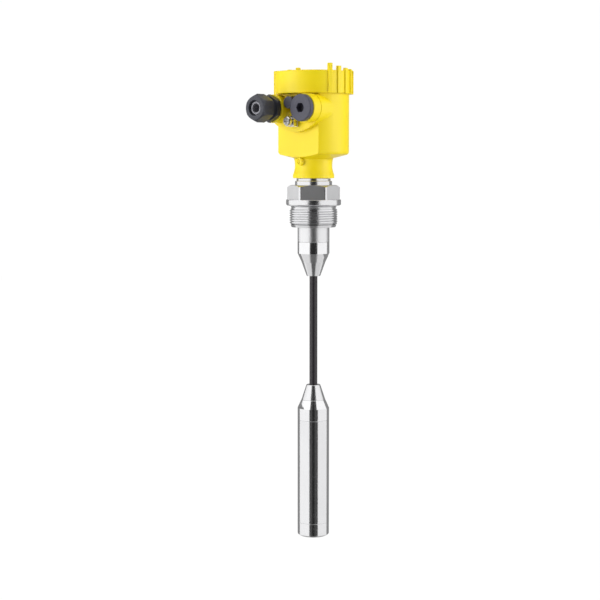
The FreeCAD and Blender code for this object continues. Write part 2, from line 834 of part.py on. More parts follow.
glandSealR = seatR - d.joint_clearance
noseR = glandSealR - d.gland_nose_step
glandSeal = Piece("gland_seal")
glandSeal.turn(polygon([
    (sealBoreR, -sealNear),
    (glandSealR, -sealNear),
    (glandSealR, -noseNear),
    (noseR, -noseNear),
    (noseR, -noseFar),
    (sealBoreR, -noseFar),
]), "Y", glandX, entryZ)
pieces.append(glandSeal)
nut = Piece("gland_nut")
nut.forward(hexagon(glandX, entryZ, glandFlats, 30), nutNear, nutFar)
nutOut = glandFlats * 0.64
frontR = glandFlats / 2 - d.gland_front_inset
mouthR = frontR - d.gland_front_width
nut.turn(polygon([
    (frontR, -nutFar),
    (nutOut, -nutFar),
    (nutOut, -(nutFar - d.gland_dome_length)),
]), "Y", glandX, entryZ, cut=True)
noseHoleR = noseR + d.joint_clearance
nutShelf = noseNear + d.gland_nut_clearance
nut.turn(polygon([
    (0, -nutNear),
    (nutThreadR, -nutNear),
    (nutThreadR, -nutShelf),
    (noseHoleR, -nutShelf),
    (noseHoleR, -noseFar),
    (mouthR, -noseFar),
    (mouthR, -nutFar),
    (0, -nutFar),
]), "Y", glandX, entryZ, cut=True)
pieces.append(nut)

# Blind plug in the right entry
plugNear = bossReach + d.plug_gap
plugFar = plugNear + d.plug_head_width
plugHeadR = entryR + d.plug_flange
plugStemR = entryR - d.plug_gap
plugSealIn = plugStemR + d.joint_clearance
plugSealOut = plugSealIn + d.plug_seal_width
plugSealFar = plugNear + d.plug_seal_thickness
plug = Piece("blind_plug")
plug.turn(polygon([
    (0, -shankNear),
    (plugStemR, -shankNear),
    (plugStemR, -(plugSealFar + d.joint_clearance)),
    (plugSealOut + d.joint_clearance, -(plugSealFar + d.joint_clearance)),
    (plugSealOut + d.joint_clearance, -plugNear),
    (plugHeadR, -plugNear),
    (plugHeadR, -(plugFar - d.plug_chamfer)),
    (plugHeadR - d.plug_chamfer, -plugFar),
    (0, -plugFar),
]), "Y", halfEntry, entryZ)
plug.drill(hexagon(halfEntry, entryZ, d.plug_key_across_flats, 0), plugFar, plugFar - d.plug_key_depth)
pieces.append(plug)
plugSeal = Piece("plug_seal")
plugSeal.turn(polygon([
    (plugSealIn, -plugNear),
    (plugSealOut, -plugNear),
    (plugSealOut, -plugSealFar),
    (plugSealIn, -plugSealFar),
]), "Y", halfEntry, entryZ)
pieces.append(plugSeal)

# Breather filter between the entries
filterFar = blockReach + d.filter_length
filterR = (d.entry_gap + d.filter_tuck) / 2
ventR = d.filter_vent_diameter / 2
membraneR = d.membrane_diameter / 2
membraneFar = filterFar - d.membrane_thickness * 2
membraneNear = membraneFar - d.membrane_thickness
breather = Piece("filter_cap")
breather.turn(polygon([
    (ventR, -(blockReach - d.filter_stem_length)),
    (d.filter_stem_diameter / 2, -(blockReach - d.filter_stem_length)),
    (d.filter_stem_diameter / 2, -blockReach),
    (filterR, -blockReach),
    (filterR, -(filterFar - e)),
    (filterR - e, -filterFar),
    (0, -filterFar),
    (0, -membraneFar),
    (membraneR + d.joint_clearance / 2, -membraneFar),
    (membraneR + d.joint_clearance / 2, -(membraneNear - d.membrane_thickness)),
    (ventR, -(membraneNear - d.membrane_thickness)),
]), "Y", 0, filterZ)
pieces.append(breather)
membrane = Piece("filter_membrane")
membrane.forward(circle(0, filterZ, membraneR), membraneNear, membraneFar)
pieces.append(membrane)

# Outer ground terminal
halfGround = d.ground_width / 2
baseFar = blockReach + d.ground_base_width
base = Piece("ground_terminal_base")
base.forward(box(-halfGround, halfGround, terminalZ - halfGround, terminalZ + halfGround), blockReach, baseFar)
base.drill(circle(0, terminalZ, groundR + d.joint_clearance), baseFar, blockReach)
pieces.append(base)
clampNear = baseFar + d.ground_gap
clampFar = clampNear + d.ground_clamp_length
plateNear = clampFar - d.ground_plate_width
halfClamp = halfGround - d.ground_gap
clamp = Piece("ground_clamp")
clamp.forward(box(-halfClamp, halfClamp, terminalZ - halfClamp, terminalZ + halfClamp), plateNear, clampFar)
lipsIn = halfClamp - d.ground_lip_width
clamp.forward([
    box(-halfClamp, -lipsIn, terminalZ - halfClamp, terminalZ + halfClamp),
    box(lipsIn, halfClamp, terminalZ - halfClamp, terminalZ + halfClamp),
], clampNear, plateNear)
clamp.drill(circle(0, terminalZ, groundR + d.joint_clearance), clampFar, plateNear)
pieces.append(clamp)
washerNear = clampFar + d.ground_gap
washerFar = washerNear + d.ground_washer_width
headFar = washerFar + d.ground_head_width
groundHeadR = d.ground_head_diameter / 2
groundScrew = Piece("ground_screw")
groundScrew.turn(polygon([
    (0, -(blockReach - d.ground_screw_depth)),
    (groundR, -(blockReach - d.ground_screw_depth)),
    (groundR, -washerNear),
    (d.ground_washer_diameter / 2, -washerNear),
    (d.ground_washer_diameter / 2, -washerFar),
    (groundHeadR, -washerFar),
    (groundHeadR, -(headFar - e * 2)),
    (groundHeadR - e * 2, -headFar),
    (0, -headFar),
]), "Y", 0, terminalZ)
slot = d.ground_slot_width / 2
arm = groundHeadR * 0.7
groundScrew.drill(box(-slot, slot, terminalZ - arm, terminalZ + arm), headFar, headFar - d.ground_slot_depth)
groundScrew.drill(box(-arm, arm, terminalZ - slot, terminalZ + slot), headFar, headFar - d.ground_slot_depth)
pieces.append(groundScrew)

# Electronics insert: cup, circuit board, cover, terminals and contacts
cupR = cavityR - d.cup_gap
cupFlat = cavityFlat - d.cup_gap
cupTop = floor + d.cup_height
ledge = floor + d.ledge_height
innerR = cupR - d.cup_wall
innerFlat = cupFlat - d.cup_wall
pillarR = d.pillar_diameter / 2
pillarSide = (innerR - d.pillar_inset) * 0.85
pillarBack = (innerR - d.pillar_inset) * 0.527
pillars = [circle(side, pillarBack, pillarR) for side in (pillarSide, -pillarSide)]
caseR = d.case_screw_diameter / 2
threads = [circle(side, pillarBack, caseR) for side in (pillarSide, -pillarSide)]
cup = Piece("electronics_cup")
cup.rise(flattened(cupR, cupFlat), floor, cupTop)
cup.sink(flattened(innerR, innerFlat), cupTop, ledge)
cup.sink(flattened(innerR - d.ledge_width, innerFlat - d.ledge_width), cupTop, floor + d.cup_floor)
cup.rise(pillars, floor, cupTop)
cup.sink(threads, cupTop, cupTop - d.case_screw_length)
pieces.append(cup)
board = Piece("circuit_board")
board.rise(flattened(innerR - d.circuit_clearance, innerFlat - d.circuit_clearance), ledge, ledge + d.board_thickness)
notches = [circle(side, pillarBack, pillarR + d.circuit_clearance) for side in (pillarSide, -pillarSide)]
board.sink(notches, ledge + d.board_thickness, ledge)
pieces.append(board)
coverTop = cupTop + d.cover_thickness
cover = Piece("electronics_cover")
cover.rise(flattened(cupR, cupFlat), cupTop, coverTop)
cover.sink([circle(side, pillarBack, caseR + d.joint_clearance) for side in (pillarSide, -pillarSide)], coverTop, cupTop)
pieces.append(cover)
for number, side in ((1, pillarSide), (2, -pillarSide)):
    screw = Piece(f"case_screw_{number}")
    screw.rise(circle(side, pillarBack, caseR), cupTop - d.case_screw_length + e, coverTop)
    screw.rise(circle(side, pillarBack, d.case_screw_head_diameter / 2), coverTop, coverTop + d.case_screw_head_height)
    screw.sink(box(side - d.case_screw_diameter / 2, side + d.case_screw_diameter / 2, pillarBack - e / 2, pillarBack + e / 2), coverTop + d.case_screw_head_height, coverTop + d.case_screw_head_height / 2)
    pieces.append(screw)

halfTerminal = d.terminal_length / 2
terminalTop = coverTop + d.terminal_height
terminalBack = d.terminal_front + d.terminal_width
pivotY = terminalBack - d.lever_pivot_inset
leverR = d.lever_thickness / 2
pivotZ = terminalTop - leverR
halfLever = d.lever_width / 2
slotHalfLever = halfLever + d.lever_gap
sides = (d.lever_side, -d.lever_side)
terminal = Piece("terminal_block")
terminal.rise(box(-halfTerminal, halfTerminal, d.terminal_front, terminalBack), coverTop, terminalTop)
slotFront = pivotY - d.lever_length - d.lever_gap
terminal.sink([box(side - slotHalfLever, side + slotHalfLever, slotFront, terminalBack) for side in sides], terminalTop, terminalTop - d.lever_thickness - d.lever_gap)
wireZ = coverTop + d.wire_hole_height
terminal.drill([circle(side, wireZ, d.wire_hole_diameter / 2) for side in sides], -d.terminal_front, -d.terminal_front - d.wire_hole_depth)
pieces.append(terminal)
for number, side in ((1, d.lever_side), (2, -d.lever_side)):
    lever = Piece(f"terminal_lever_{number}")
    sketch = sketchOn(lever.body, "YZ_Plane", (0, 0, side - halfLever))
    circle(pivotY, pivotZ, leverR)(sketch)
    made = lever.feature("Pad", sketch)
    made.setExpression("Length", d.lever_width.text)
    lever.rise(box(side - halfLever, side + halfLever, pivotY - d.lever_length, pivotY), pivotZ - leverR, pivotZ + leverR)
    pieces.append(lever)

halfStrip = d.contact_strip_length / 2
stripTop = coverTop + d.contact_strip_height
contacts = Piece("contact_strip")
contacts.rise(box(-halfStrip, halfStrip, -d.contact_front - d.contact_strip_width, -d.contact_front), coverTop, stripTop)
pinY = -d.contact_front - d.contact_strip_width / 2
pins = [circle(d.contact_spacing * step, pinY, d.contact_pin_diameter / 2) for step in (-1.5, -0.5, 0.5, 1.5)]
contacts.rise(pins, stripTop, stripTop + d.contact_pin_height)
pieces.append(contacts)

document.recompute()

# Check and export
faults = []
for item in document.Objects:
    if "Invalid" in item.State or "Error" in item.State:
        faults.append(f"{item.Name} is {item.State}")
for piece in pieces:
    shape = piece.body.Shape
    if shape.isNull() or not shape.isValid() or len(shape.Solids) != 1:
        faults.append(f"{piece.body.Label} has no single valid solid")
if faults:
    raise RuntimeError("; ".join(faults))
os.makedirs("parts", exist_ok=True)
for piece in pieces:
    piece.body.Shape.exportStep(f"parts/{piece.body.Label}.step")
    print(piece.body.Label, round(piece.body.Shape.Volume, 1))
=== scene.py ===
import math
import bmesh
import bpy
from mathutils import Matrix, Vector


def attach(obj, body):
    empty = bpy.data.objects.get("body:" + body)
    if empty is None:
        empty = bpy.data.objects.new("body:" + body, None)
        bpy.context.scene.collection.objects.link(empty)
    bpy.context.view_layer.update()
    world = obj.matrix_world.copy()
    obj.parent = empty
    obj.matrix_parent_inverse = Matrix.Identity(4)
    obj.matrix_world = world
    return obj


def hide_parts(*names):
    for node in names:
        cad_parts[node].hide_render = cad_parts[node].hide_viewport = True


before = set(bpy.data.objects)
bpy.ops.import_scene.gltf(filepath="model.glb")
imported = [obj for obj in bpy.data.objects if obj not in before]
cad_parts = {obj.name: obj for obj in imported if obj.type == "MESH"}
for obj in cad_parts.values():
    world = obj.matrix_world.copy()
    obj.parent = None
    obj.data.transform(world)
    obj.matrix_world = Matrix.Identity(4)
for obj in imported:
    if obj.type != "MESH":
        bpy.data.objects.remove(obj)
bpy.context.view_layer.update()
scene = bpy.context.scene
scene.view_settings.view_transform = "Standard"
toMetres = Matrix.Scale(0.001, 4)  # pieces are drawn in millimetres
print("frame loaded", len(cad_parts), "nodes")


# shader maths: one socket, its sums and any other node
class Sock:
    def __init__(self, tree, socket):
        self.tree = tree
        self.socket = socket

    def make(self, kind, settings=None, inputs=None, output=0):
        node = self.tree.nodes.new(kind)
        for name, value in (settings or {}).items():
            setattr(node, name, value)
        for name, value in (inputs or {}).items():
            if isinstance(value, Sock):
                self.tree.links.new(value.socket, node.inputs[name])
            else:
                node.inputs[name].default_value = value
        return Sock(self.tree, node.outputs[output])

    def sum(self, operation, first, second):
        return self.make("ShaderNodeMath", {"operation": operation}, {0: first, 1: second})

    def __add__(self, other):
        return self.sum("ADD", self, other)

    def __radd__(self, other):
        return self.sum("ADD", other, self)

    def __sub__(self, other):
        return self.sum("SUBTRACT", self, other)

    def __rsub__(self, other):
        return self.sum("SUBTRACT", other, self)

    def __mul__(self, other):
        return self.sum("MULTIPLY", self, other)

    def __rmul__(self, other):
        return self.sum("MULTIPLY", other, self)

    def noise(self, scale, detail=2.0, rough=0.5):
        return self.make("ShaderNodeTexNoise", None,
                         {"Vector": self, "Scale": scale, "Detail": detail, "Roughness": rough})

    def stretched(self, scale):
        return self.make("ShaderNodeMapping", None, {"Vector": self, "Scale": scale})

    def blend(self, first, second):
        return self.make("ShaderNodeMix", {"data_type": "RGBA"}, {0: self, 6: first, 7: second}, 2)

    def between(self, low, high):
        return self.make("ShaderNodeMapRange", None,
                         {"Value": self, "From Min": low, "From Max": high, "To Min": 0.0, "To Max": 1.0})

    def bump(self, distance, strength):
        return self.make("ShaderNodeBump", None,
                         {"Height": self, "Distance": distance, "Strength": strength})


def startFinish(name, **fixed):
    material = bpy.data.materials.new(name)
    material.use_nodes = True
    tree = material.node_tree
    surface = tree.nodes["Principled BSDF"]
    for key, value in fixed.items():
        surface.inputs[key.replace("_", " ")].default_value = value
    coords = tree.nodes.new("ShaderNodeTexCoord")
    return material, surface, Sock(tree, coords.outputs["Object"])


def feed(surface, **links):
    for key, value in links.items():
        value.tree.links.new(value.socket, surface.inputs[key.replace("_", " ")])


# moulded plastic: fine spark-eroded grain, faint flow streaks, handling marks in the gloss
def mouldedPlastic(name, light, dark, gloss, grain, speck=0.0, sheen=1.5):
    material, surface, place = startFinish(name, IOR=sheen)
    cloud = place.noise(26, 3).between(0.32, 0.7)
    flow = place.stretched((60, 60, 9)).noise(1, 4, 0.6).between(0.35, 0.7)
    pores = place.noise(1900, 2)
    colour = (cloud * 0.6 + flow * 0.4).blend(dark, light)
    if speck:
        fibre = place.stretched((900, 900, 300)).noise(1, 2).between(0.66, 0.74)
        colour = (fibre * speck).blend(colour, tuple(min(1, c * 2.4) for c in light[:3]) + (1,))
    marks = place.stretched((140, 300, 220)).noise(1, 6, 0.68).between(0.5, 0.78)
    feed(surface, Base_Color=colour, Roughness=gloss + marks * 0.09 + pores * 0.06,
         Normal=(pores + flow * 0.3).bump(grain, 0.55))
    return material


# turned steel: lathe lines run round the axis, so they vary along it only
# dull (low, high, radius, more) roughens what lies inside that radius
# painted shade (low, high, radius, share): darkens the colour inside that radius, standing in for the shade
# in a groove
def turnedSteel(name, tone, gloss, lines, dull=(), paintedGrooveShade=()):
    fade = 0.0001  # soft edge of such a stretch, in metres
    # colour of the painted groove shade
    paintedShadeTone = (0.03, 0.03, 0.032, 1)
    material, surface, place = startFinish(name, Metallic=1.0, IOR=2.5)
    cut = place.stretched((3, 3, 5200)).noise(1, 2)
    feedLines = place.stretched((8, 8, 900)).noise(1, 3, 0.6)
    stain = place.noise(38, 4, 0.6).between(0.4, 0.75)
    handled = place.noise(210, 5, 0.7).between(0.52, 0.8)
    worn = tuple(c * 0.9 for c in tone[:3]) + (1,)
    colour = (stain * 0.5 + feedLines * 0.35).blend(tone, worn)
    roughness = gloss + handled * 0.05 + cut * 0.05

    def within(low, high, reach):
        height = place.make("ShaderNodeSeparateXYZ", None, {"Vector": place}, 2)
        across = place.make("ShaderNodeVectorMath", {"operation": "MULTIPLY"}, {0: place, 1: (1, 1, 0)})
        radius = across.make("ShaderNodeVectorMath", {"operation": "LENGTH"}, {0: across}, "Value")
        level = height.between(low - fade, low + fade) - height.between(high - fade, high + fade)
        return level * (1 - radius.between(reach - fade, reach + fade))

    for low, high, reach, more in dull:
        roughness = roughness + within(low, high, reach) * more
    # painted shade: the colour is darkened in that stretch
    for low, high, reach, share in paintedGrooveShade:
        colour = (within(low, high, reach) * share).blend(colour, paintedShadeTone)
    feed(surface, Base_Color=colour, Roughness=roughness, Normal=(cut * 0.6 + feedLines).bump(lines, 0.3))
    return material


# milled or plated steel: short random brush strokes on flats
def platedSteel(name, tone, gloss):
    material, surface, place = startFinish(name, Metallic=1.0, IOR=2.5)
    brushed = place.stretched((300, 2600, 2600)).noise(1, 3)
    stain = place.noise(120, 4, 0.6).between(0.4, 0.75)
    colour = (stain * 0.7).blend(tone, tuple(c * 0.82 for c in tone[:3]) + (1,))
    feed(surface, Base_Color=colour, Roughness=gloss + stain * 0.08 + brushed * 0.06,
         Normal=brushed.bump(0.00002, 0.3))
    return material


# rubber: dusty bloom over a dull base
def sealRubber(name, tone, bloom):
    material, surface, place = startFinish(name, IOR=1.45)
    dust = place.noise(160, 5, 0.65).between(0.45, 0.8)
    pores = place.noise(2400, 2)
    feed(surface, Base_Color=(dust * 0.6).blend(tone, bloom), Roughness=0.62 + dust * 0.18,
         Normal=pores.bump(0.00004, 0.5))
    return material


# cable sheath: extruded along the axis, so the streaks run lengthwise
def cableSheath():
    material, surface, place = startFinish("cable sheath", IOR=1.48)
    streak = place.stretched((1500, 1500, 12)).noise(1, 3)
    scuff = place.stretched((400, 400, 160)).noise(1, 5, 0.7).between(0.55, 0.8)
    skin = place.noise(1500, 2)
    colour = (streak * 0.45 + scuff * 0.35).blend((0.012, 0.01, 0.012, 1), (0.036, 0.031, 0.036, 1))
    feed(surface, Base_Color=colour, Roughness=0.26 + scuff * 0.14 + skin * 0.06,
         Normal=(streak * 0.5 + skin * 0.5).bump(0.00005, 0.4))
    return material


# ground ceramic: pale body with fine grey grains and lapping lines
def groundCeramic():
    material, surface, place = startFinish("ground ceramic", IOR=1.7)
    grains = place.noise(2600, 2).between(0.55, 0.75)
    lapped = place.stretched((90, 2400, 400)).noise(1, 3)
    colour = (grains * 0.5).blend((0.83, 0.81, 0.76, 1), (0.6, 0.58, 0.54, 1))
    feed(surface, Base_Color=colour, Roughness=0.34 + lapped * 0.16, Normal=lapped.bump(0.00001, 0.4))
    return material


# circuit board: lacquered laminate with copper tracks under the lacquer
def boardLaminate():
    material, surface, place = startFinish("board laminate", IOR=1.5)
    tracks = place.make("ShaderNodeTexBrick", {"offset": 0.5},
                        {"Vector": place, "Scale": 160.0, "Mortar Size": 0.06, "Color1": (0, 0, 0, 1),
                         "Color2": (0, 0, 0, 1), "Mortar": (1, 1, 1, 1)})
    weave = place.noise(900, 2)
    colour = (weave * 0.5).blend((0.012, 0.11, 0.045, 1), (0.02, 0.17, 0.07, 1))
    coppered = tracks.blend(colour, (0.06, 0.26, 0.1, 1))
    feed(surface, Base_Color=coppered, Roughness=0.3 + weave * 0.12, Normal=weave.bump(0.00002, 0.4))
    return material


# finishes: colours, then gloss and how deep the grain or the lathe lines are, in metres
fineGrain = 0.00005
coarseGrain = 0.00006
latheLines = 0.00002
yellow = mouldedPlastic("yellow moulded", (0.87, 0.69, 0.004, 1), (0.82, 0.64, 0.003, 1), 0.3, fineGrain,
                        sheen=1.38)
polyamide = mouldedPlastic("dark polyamide", (0.056, 0.056, 0.078, 1), (0.046, 0.046, 0.065, 1), 0.38,
                           coarseGrain, 0.3)
glandPolyamide = mouldedPlastic("gland polyamide", (0.036, 0.038, 0.05, 1), (0.028, 0.03, 0.04, 1), 0.36,
                                coarseGrain, 0.3)
insertPlastic = mouldedPlastic("insert plastic", (0.07, 0.073, 0.08, 1), (0.05, 0.052, 0.058, 1), 0.48,
                               coarseGrain, 0.2)
leverPlastic = mouldedPlastic("lever plastic", (0.72, 0.2, 0.015, 1), (0.6, 0.15, 0.01, 1), 0.4, fineGrain)
contactPlastic = mouldedPlastic("contact plastic", (0.03, 0.03, 0.032, 1), (0.02, 0.02, 0.022, 1), 0.42,
                                fineGrain)
ringPlastic = mouldedPlastic("ring plastic", (0.72, 0.71, 0.68, 1), (0.64, 0.63, 0.6, 1), 0.45, fineGrain)
steel = turnedSteel("turned steel", (0.8, 0.8, 0.81, 1), 0.1, latheLines)
headSteel = turnedSteel("head steel", (0.84, 0.84, 0.85, 1), 0.08, latheLines)
# the last stretch is painted shade: a dark band in the groove where the thread starts
fittingSteel = turnedSteel(
    "fitting steel", (0.8, 0.8, 0.81, 1), 0.16, latheLines,
    dull=((0.0058, 0.0203, 0.0258, 0.18), (-0.0365, -0.0218, 0.03, 0.12)),  # hexagon and stub
    paintedGrooveShade=((-0.0193, -0.0184, 0.0224, 0.85),))  # groove where the thread starts
clampSteel = turnedSteel("clamp steel", (0.78, 0.78, 0.79, 1), 0.16, latheLines)
plated = platedSteel("plated steel", (0.72, 0.71, 0.69, 1), 0.2)
rubber = sealRubber("seal rubber", (0.016, 0.016, 0.018, 1), (0.06, 0.06, 0.062, 1))
glandRubber = sealRubber("gland rubber", (0.21, 0.21, 0.235, 1), (0.26, 0.26, 0.285, 1))
sheath = cableSheath()
ceramic = groundCeramic()
laminate = boardLaminate()
print("finishes made", len(bpy.data.materials))

# shared modelling steps, all on a bmesh in millimetres
sharpFrom = math.radians(28)  # edges that are rounded
smoothUpTo = math.radians(32)  # edges that are shaded smooth


def wire(bm, points, closed):
    verts = [bm.verts.new((p[0], 0, p[1])) for p in points]
    pairs = list(zip(verts, verts[1:]))
    if closed:
        pairs.append((verts[-1], verts[0]))
    for a, b in pairs:
        bm.edges.new((a, b))
    for vert, point in zip(verts, points):
        if len(point) > 2:  # a third number rounds that corner
            bmesh.ops.bevel(bm, geom=[vert], offset=point[2], offset_type="OFFSET", segments=4, profile=0.5,
                            affect="VERTICES", material=-1)
    return list(bm.edges)


def turned(points, steps, closed=True):
    bm = bmesh.new()
    edges = wire(bm, points, closed)
    bmesh.ops.spin(bm, geom=list(bm.verts) + edges, cent=(0, 0, 0), axis=(0, 0, 1), angle=2 * math.pi,
                   steps=steps, use_merge=True, use_duplicate=False)
    bmesh.ops.remove_doubles(bm, verts=bm.verts, dist=0.0005)
    return bm


def helix(bm, root, crest, pitch, low, high, land=0.12, top=0.12, steps=72):
    # one pitch of the thread's profile, screwed up the axis and trimmed at both ends
    # land and top are the shares of the pitch that are flat at the root and the crest
    turns = math.ceil((high - low) / pitch) + 2
    start = low - pitch * 1.5
    crestLow = pitch / 2 - pitch * top / 2
    crestHigh = pitch / 2 + pitch * top / 2
    step = (crest - root) * 0.16  # rounds the crest's two edges
    profile = [(root, 0), (root, pitch * land / 2),
               (crest - step, crestLow - step * 0.4), (crest, crestLow + step * 0.6),
               (crest, crestHigh - step * 0.6), (crest - step, crestHigh + step * 0.4),
               (root, pitch * (1 - land / 2)), (root, pitch)]
    part = bmesh.new()
    verts = [part.verts.new((r, 0, start + z)) for r, z in profile]
    edges = [part.edges.new(pair) for pair in zip(verts, verts[1:])]
    bmesh.ops.spin(part, geom=verts + edges, cent=(0, 0, 0), axis=(0, 0, 1), dvec=(0, 0, pitch / steps),
                   angle=2 * math.pi * turns, steps=steps * turns, use_merge=False, use_duplicate=False)
    bmesh.ops.remove_doubles(part, verts=part.verts, dist=0.002)
    for height, side in ((low, -1), (high, 1)):
        geom = list(part.verts) + list(part.edges) + list(part.faces)
        bmesh.ops.bisect_plane(part, geom=geom, plane_co=(0, 0, height), plane_no=(0, 0, side),
                               clear_outer=True)
    join(bm, part)


def join(bm, part, shift=None):
    if shift is not None:
        bmesh.ops.transform(part, matrix=shift, verts=part.verts)
    kept = bpy.data.meshes.new("join")
    part.to_mesh(kept)
    part.free()
    bm.from_mesh(kept)
    bpy.data.meshes.remove(kept)


def stack(outline, stages, closed=True):
    # an outline carried through stages, each a radius (or None for the outline itself) and a height
    bm = bmesh.new()
    loop = [bm.verts.new((x, y, 0)) for x, y in outline]
    edges = [bm.edges.new((a, b)) for a, b in zip(loop, loop[1:] + loop[:1])]
    for number, (radius, height) in enumerate(stages):
        if number:
            made = bmesh.ops.extrude_edge_only(bm, edges=edges)["geom"]
            edges = [g for g in made if isinstance(g, bmesh.types.BMEdge) and g.is_boundary]
        for vert in {v for e in edges for v in e.verts}:
            flat = Vector((vert.co.x, vert.co.y))
            if number:
                flat = Vector(min(outline, key=lambda p: (Vector(p).normalized() - flat.normalized()).length))
            reach = flat.length
            if radius is not None:
                flat = flat * (radius(reach) if callable(radius) else radius) / reach
            vert.co = (flat.x, flat.y, height(reach) if callable(height) else height)
    if closed:
        bmesh.ops.bridge_loops(bm, edges=[e for e in bm.edges if e.is_boundary])
    return bm


def hexOutline(across, turn, cuts):
    bm = bmesh.new()
    bmesh.ops.create_circle(bm, cap_ends=False, segments=6, radius=across / math.sqrt(3))
    bmesh.ops.rotate(bm, verts=bm.verts, matrix=Matrix.Rotation(math.radians(turn), 3, "Z"))
    bmesh.ops.subdivide_edges(bm, edges=bm.edges, cuts=cuts)
    points = sorted(((v.co.x, v.co.y) for v in bm.verts), key=lambda p: math.atan2(p[1], p[0]))
    bm.free()
    return points


def boxAt(bm, low, high, turn, edge, segments):
    part = bmesh.new()
    bmesh.ops.create_cube(part, size=1)
    bmesh.ops.scale(part, vec=Vector(high) - Vector(low), verts=part.verts)
    bmesh.ops.translate(part, vec=(Vector(high) + Vector(low)) / 2, verts=part.verts)
    bmesh.ops.bevel(part, geom=part.edges, offset=edge, offset_type="OFFSET", segments=segments, profile=0.5,
                    affect="EDGES", material=-1)
    join(bm, part, Matrix.Rotation(math.radians(turn), 4, "Z"))


def roundEdges(bm, edge, segments=2, only=None):
    sharp = [e for e in bm.edges if e.is_manifold and e.calc_face_angle() > sharpFrom]
    if only is not None:
        sharp = [e for e in sharp if only(e)]
    bmesh.ops.bevel(bm, geom=sharp, offset=edge, offset_type="OFFSET", segments=segments, profile=0.5,
                    affect="EDGES", clamp_overlap=True, loop_slide=True, material=-1)


def cadCopy(node, edge=0.0):
    # a merged copy of the solid, with its sharp edges rounded where a width is given
    bm = bmesh.new()
    bm.from_mesh(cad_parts[node].data)
    bmesh.ops.scale(bm, vec=(1000, 1000, 1000), verts=bm.verts)
    bmesh.ops.remove_doubles(bm, verts=bm.verts, dist=0.002)
    bmesh.ops.dissolve_limit(bm, angle_limit=math.radians(0.4), verts=bm.verts, edges=bm.edges)
    if edge:
        roundEdges(bm, edge)
    return bm


def finished(name, bm, body, material, nodes, turnedOut=True):
    if turnedOut:
        bmesh.ops.recalc_face_normals(bm, faces=bm.faces)
    bmesh.ops.transform(bm, matrix=toMetres, verts=bm.verts)
    mesh = bpy.data.meshes.new(name)
    bm.to_mesh(mesh)
    bm.free()
    mesh.shade_smooth()
    mesh.set_sharp_from_angle(angle=smoothUpTo)
    mesh.materials.append(material)
    piece = bpy.data.objects.new(name, mesh)
    scene.collection.objects.link(piece)
    even = piece.modifiers.new("even shading", "WEIGHTED_NORMAL")  # walls stay even beside small rounds
    even.keep_sharp = True
    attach(piece, body)
    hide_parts(*nodes)


def forward(x, z):
    # a piece drawn up the axis is laid along the entries, which point to -Y
    return Matrix.Translation((x, 0, z)) @ Matrix.Rotation(math.radians(90), 4, "X")


# threaded fitting: radii and heights, a groove as its radius, low and high
fitting = {
    "stub": 16, "stubLow": -36.5, "socket": 11.5, "socketTop": -28.5, "bore": 6,
    "threadPitch": 2.309, "threadRoot": 22.3, "threadCrest": 23.9, "threadLow": -21.7, "threadHigh": -3.2,
    "rootShare": 0.1, "crestShare": 0.54, "core": 22.2, "runOut": 1.2,
    "leadIn": 4.4, "leadSlope": 0.45, "leadRing": 2.5, "leadGap": 0.75, "gapRadius": 22,
    "collar": 27.5, "collarFoot": 26.4, "collarChamfer": 1, "collarRoot": 2.9,
    "hexAcross": 46, "hexLow": 5.8, "hexHigh": 20.3, "hexTurn": 7.5, "hexCuts": 16, "hexRound": 1.3,
    "hexInside": 18.2,
    "ring": 18.5, "ringTop": 24.4, "upperRing": 17, "upperRingTop": 26.9,
    "spigot": 14.2, "sealGroove": (12.2, 35.2, 37.6), "clipGroove": (12.6, 50.2, 51.9), "spigotTop": 53.4}


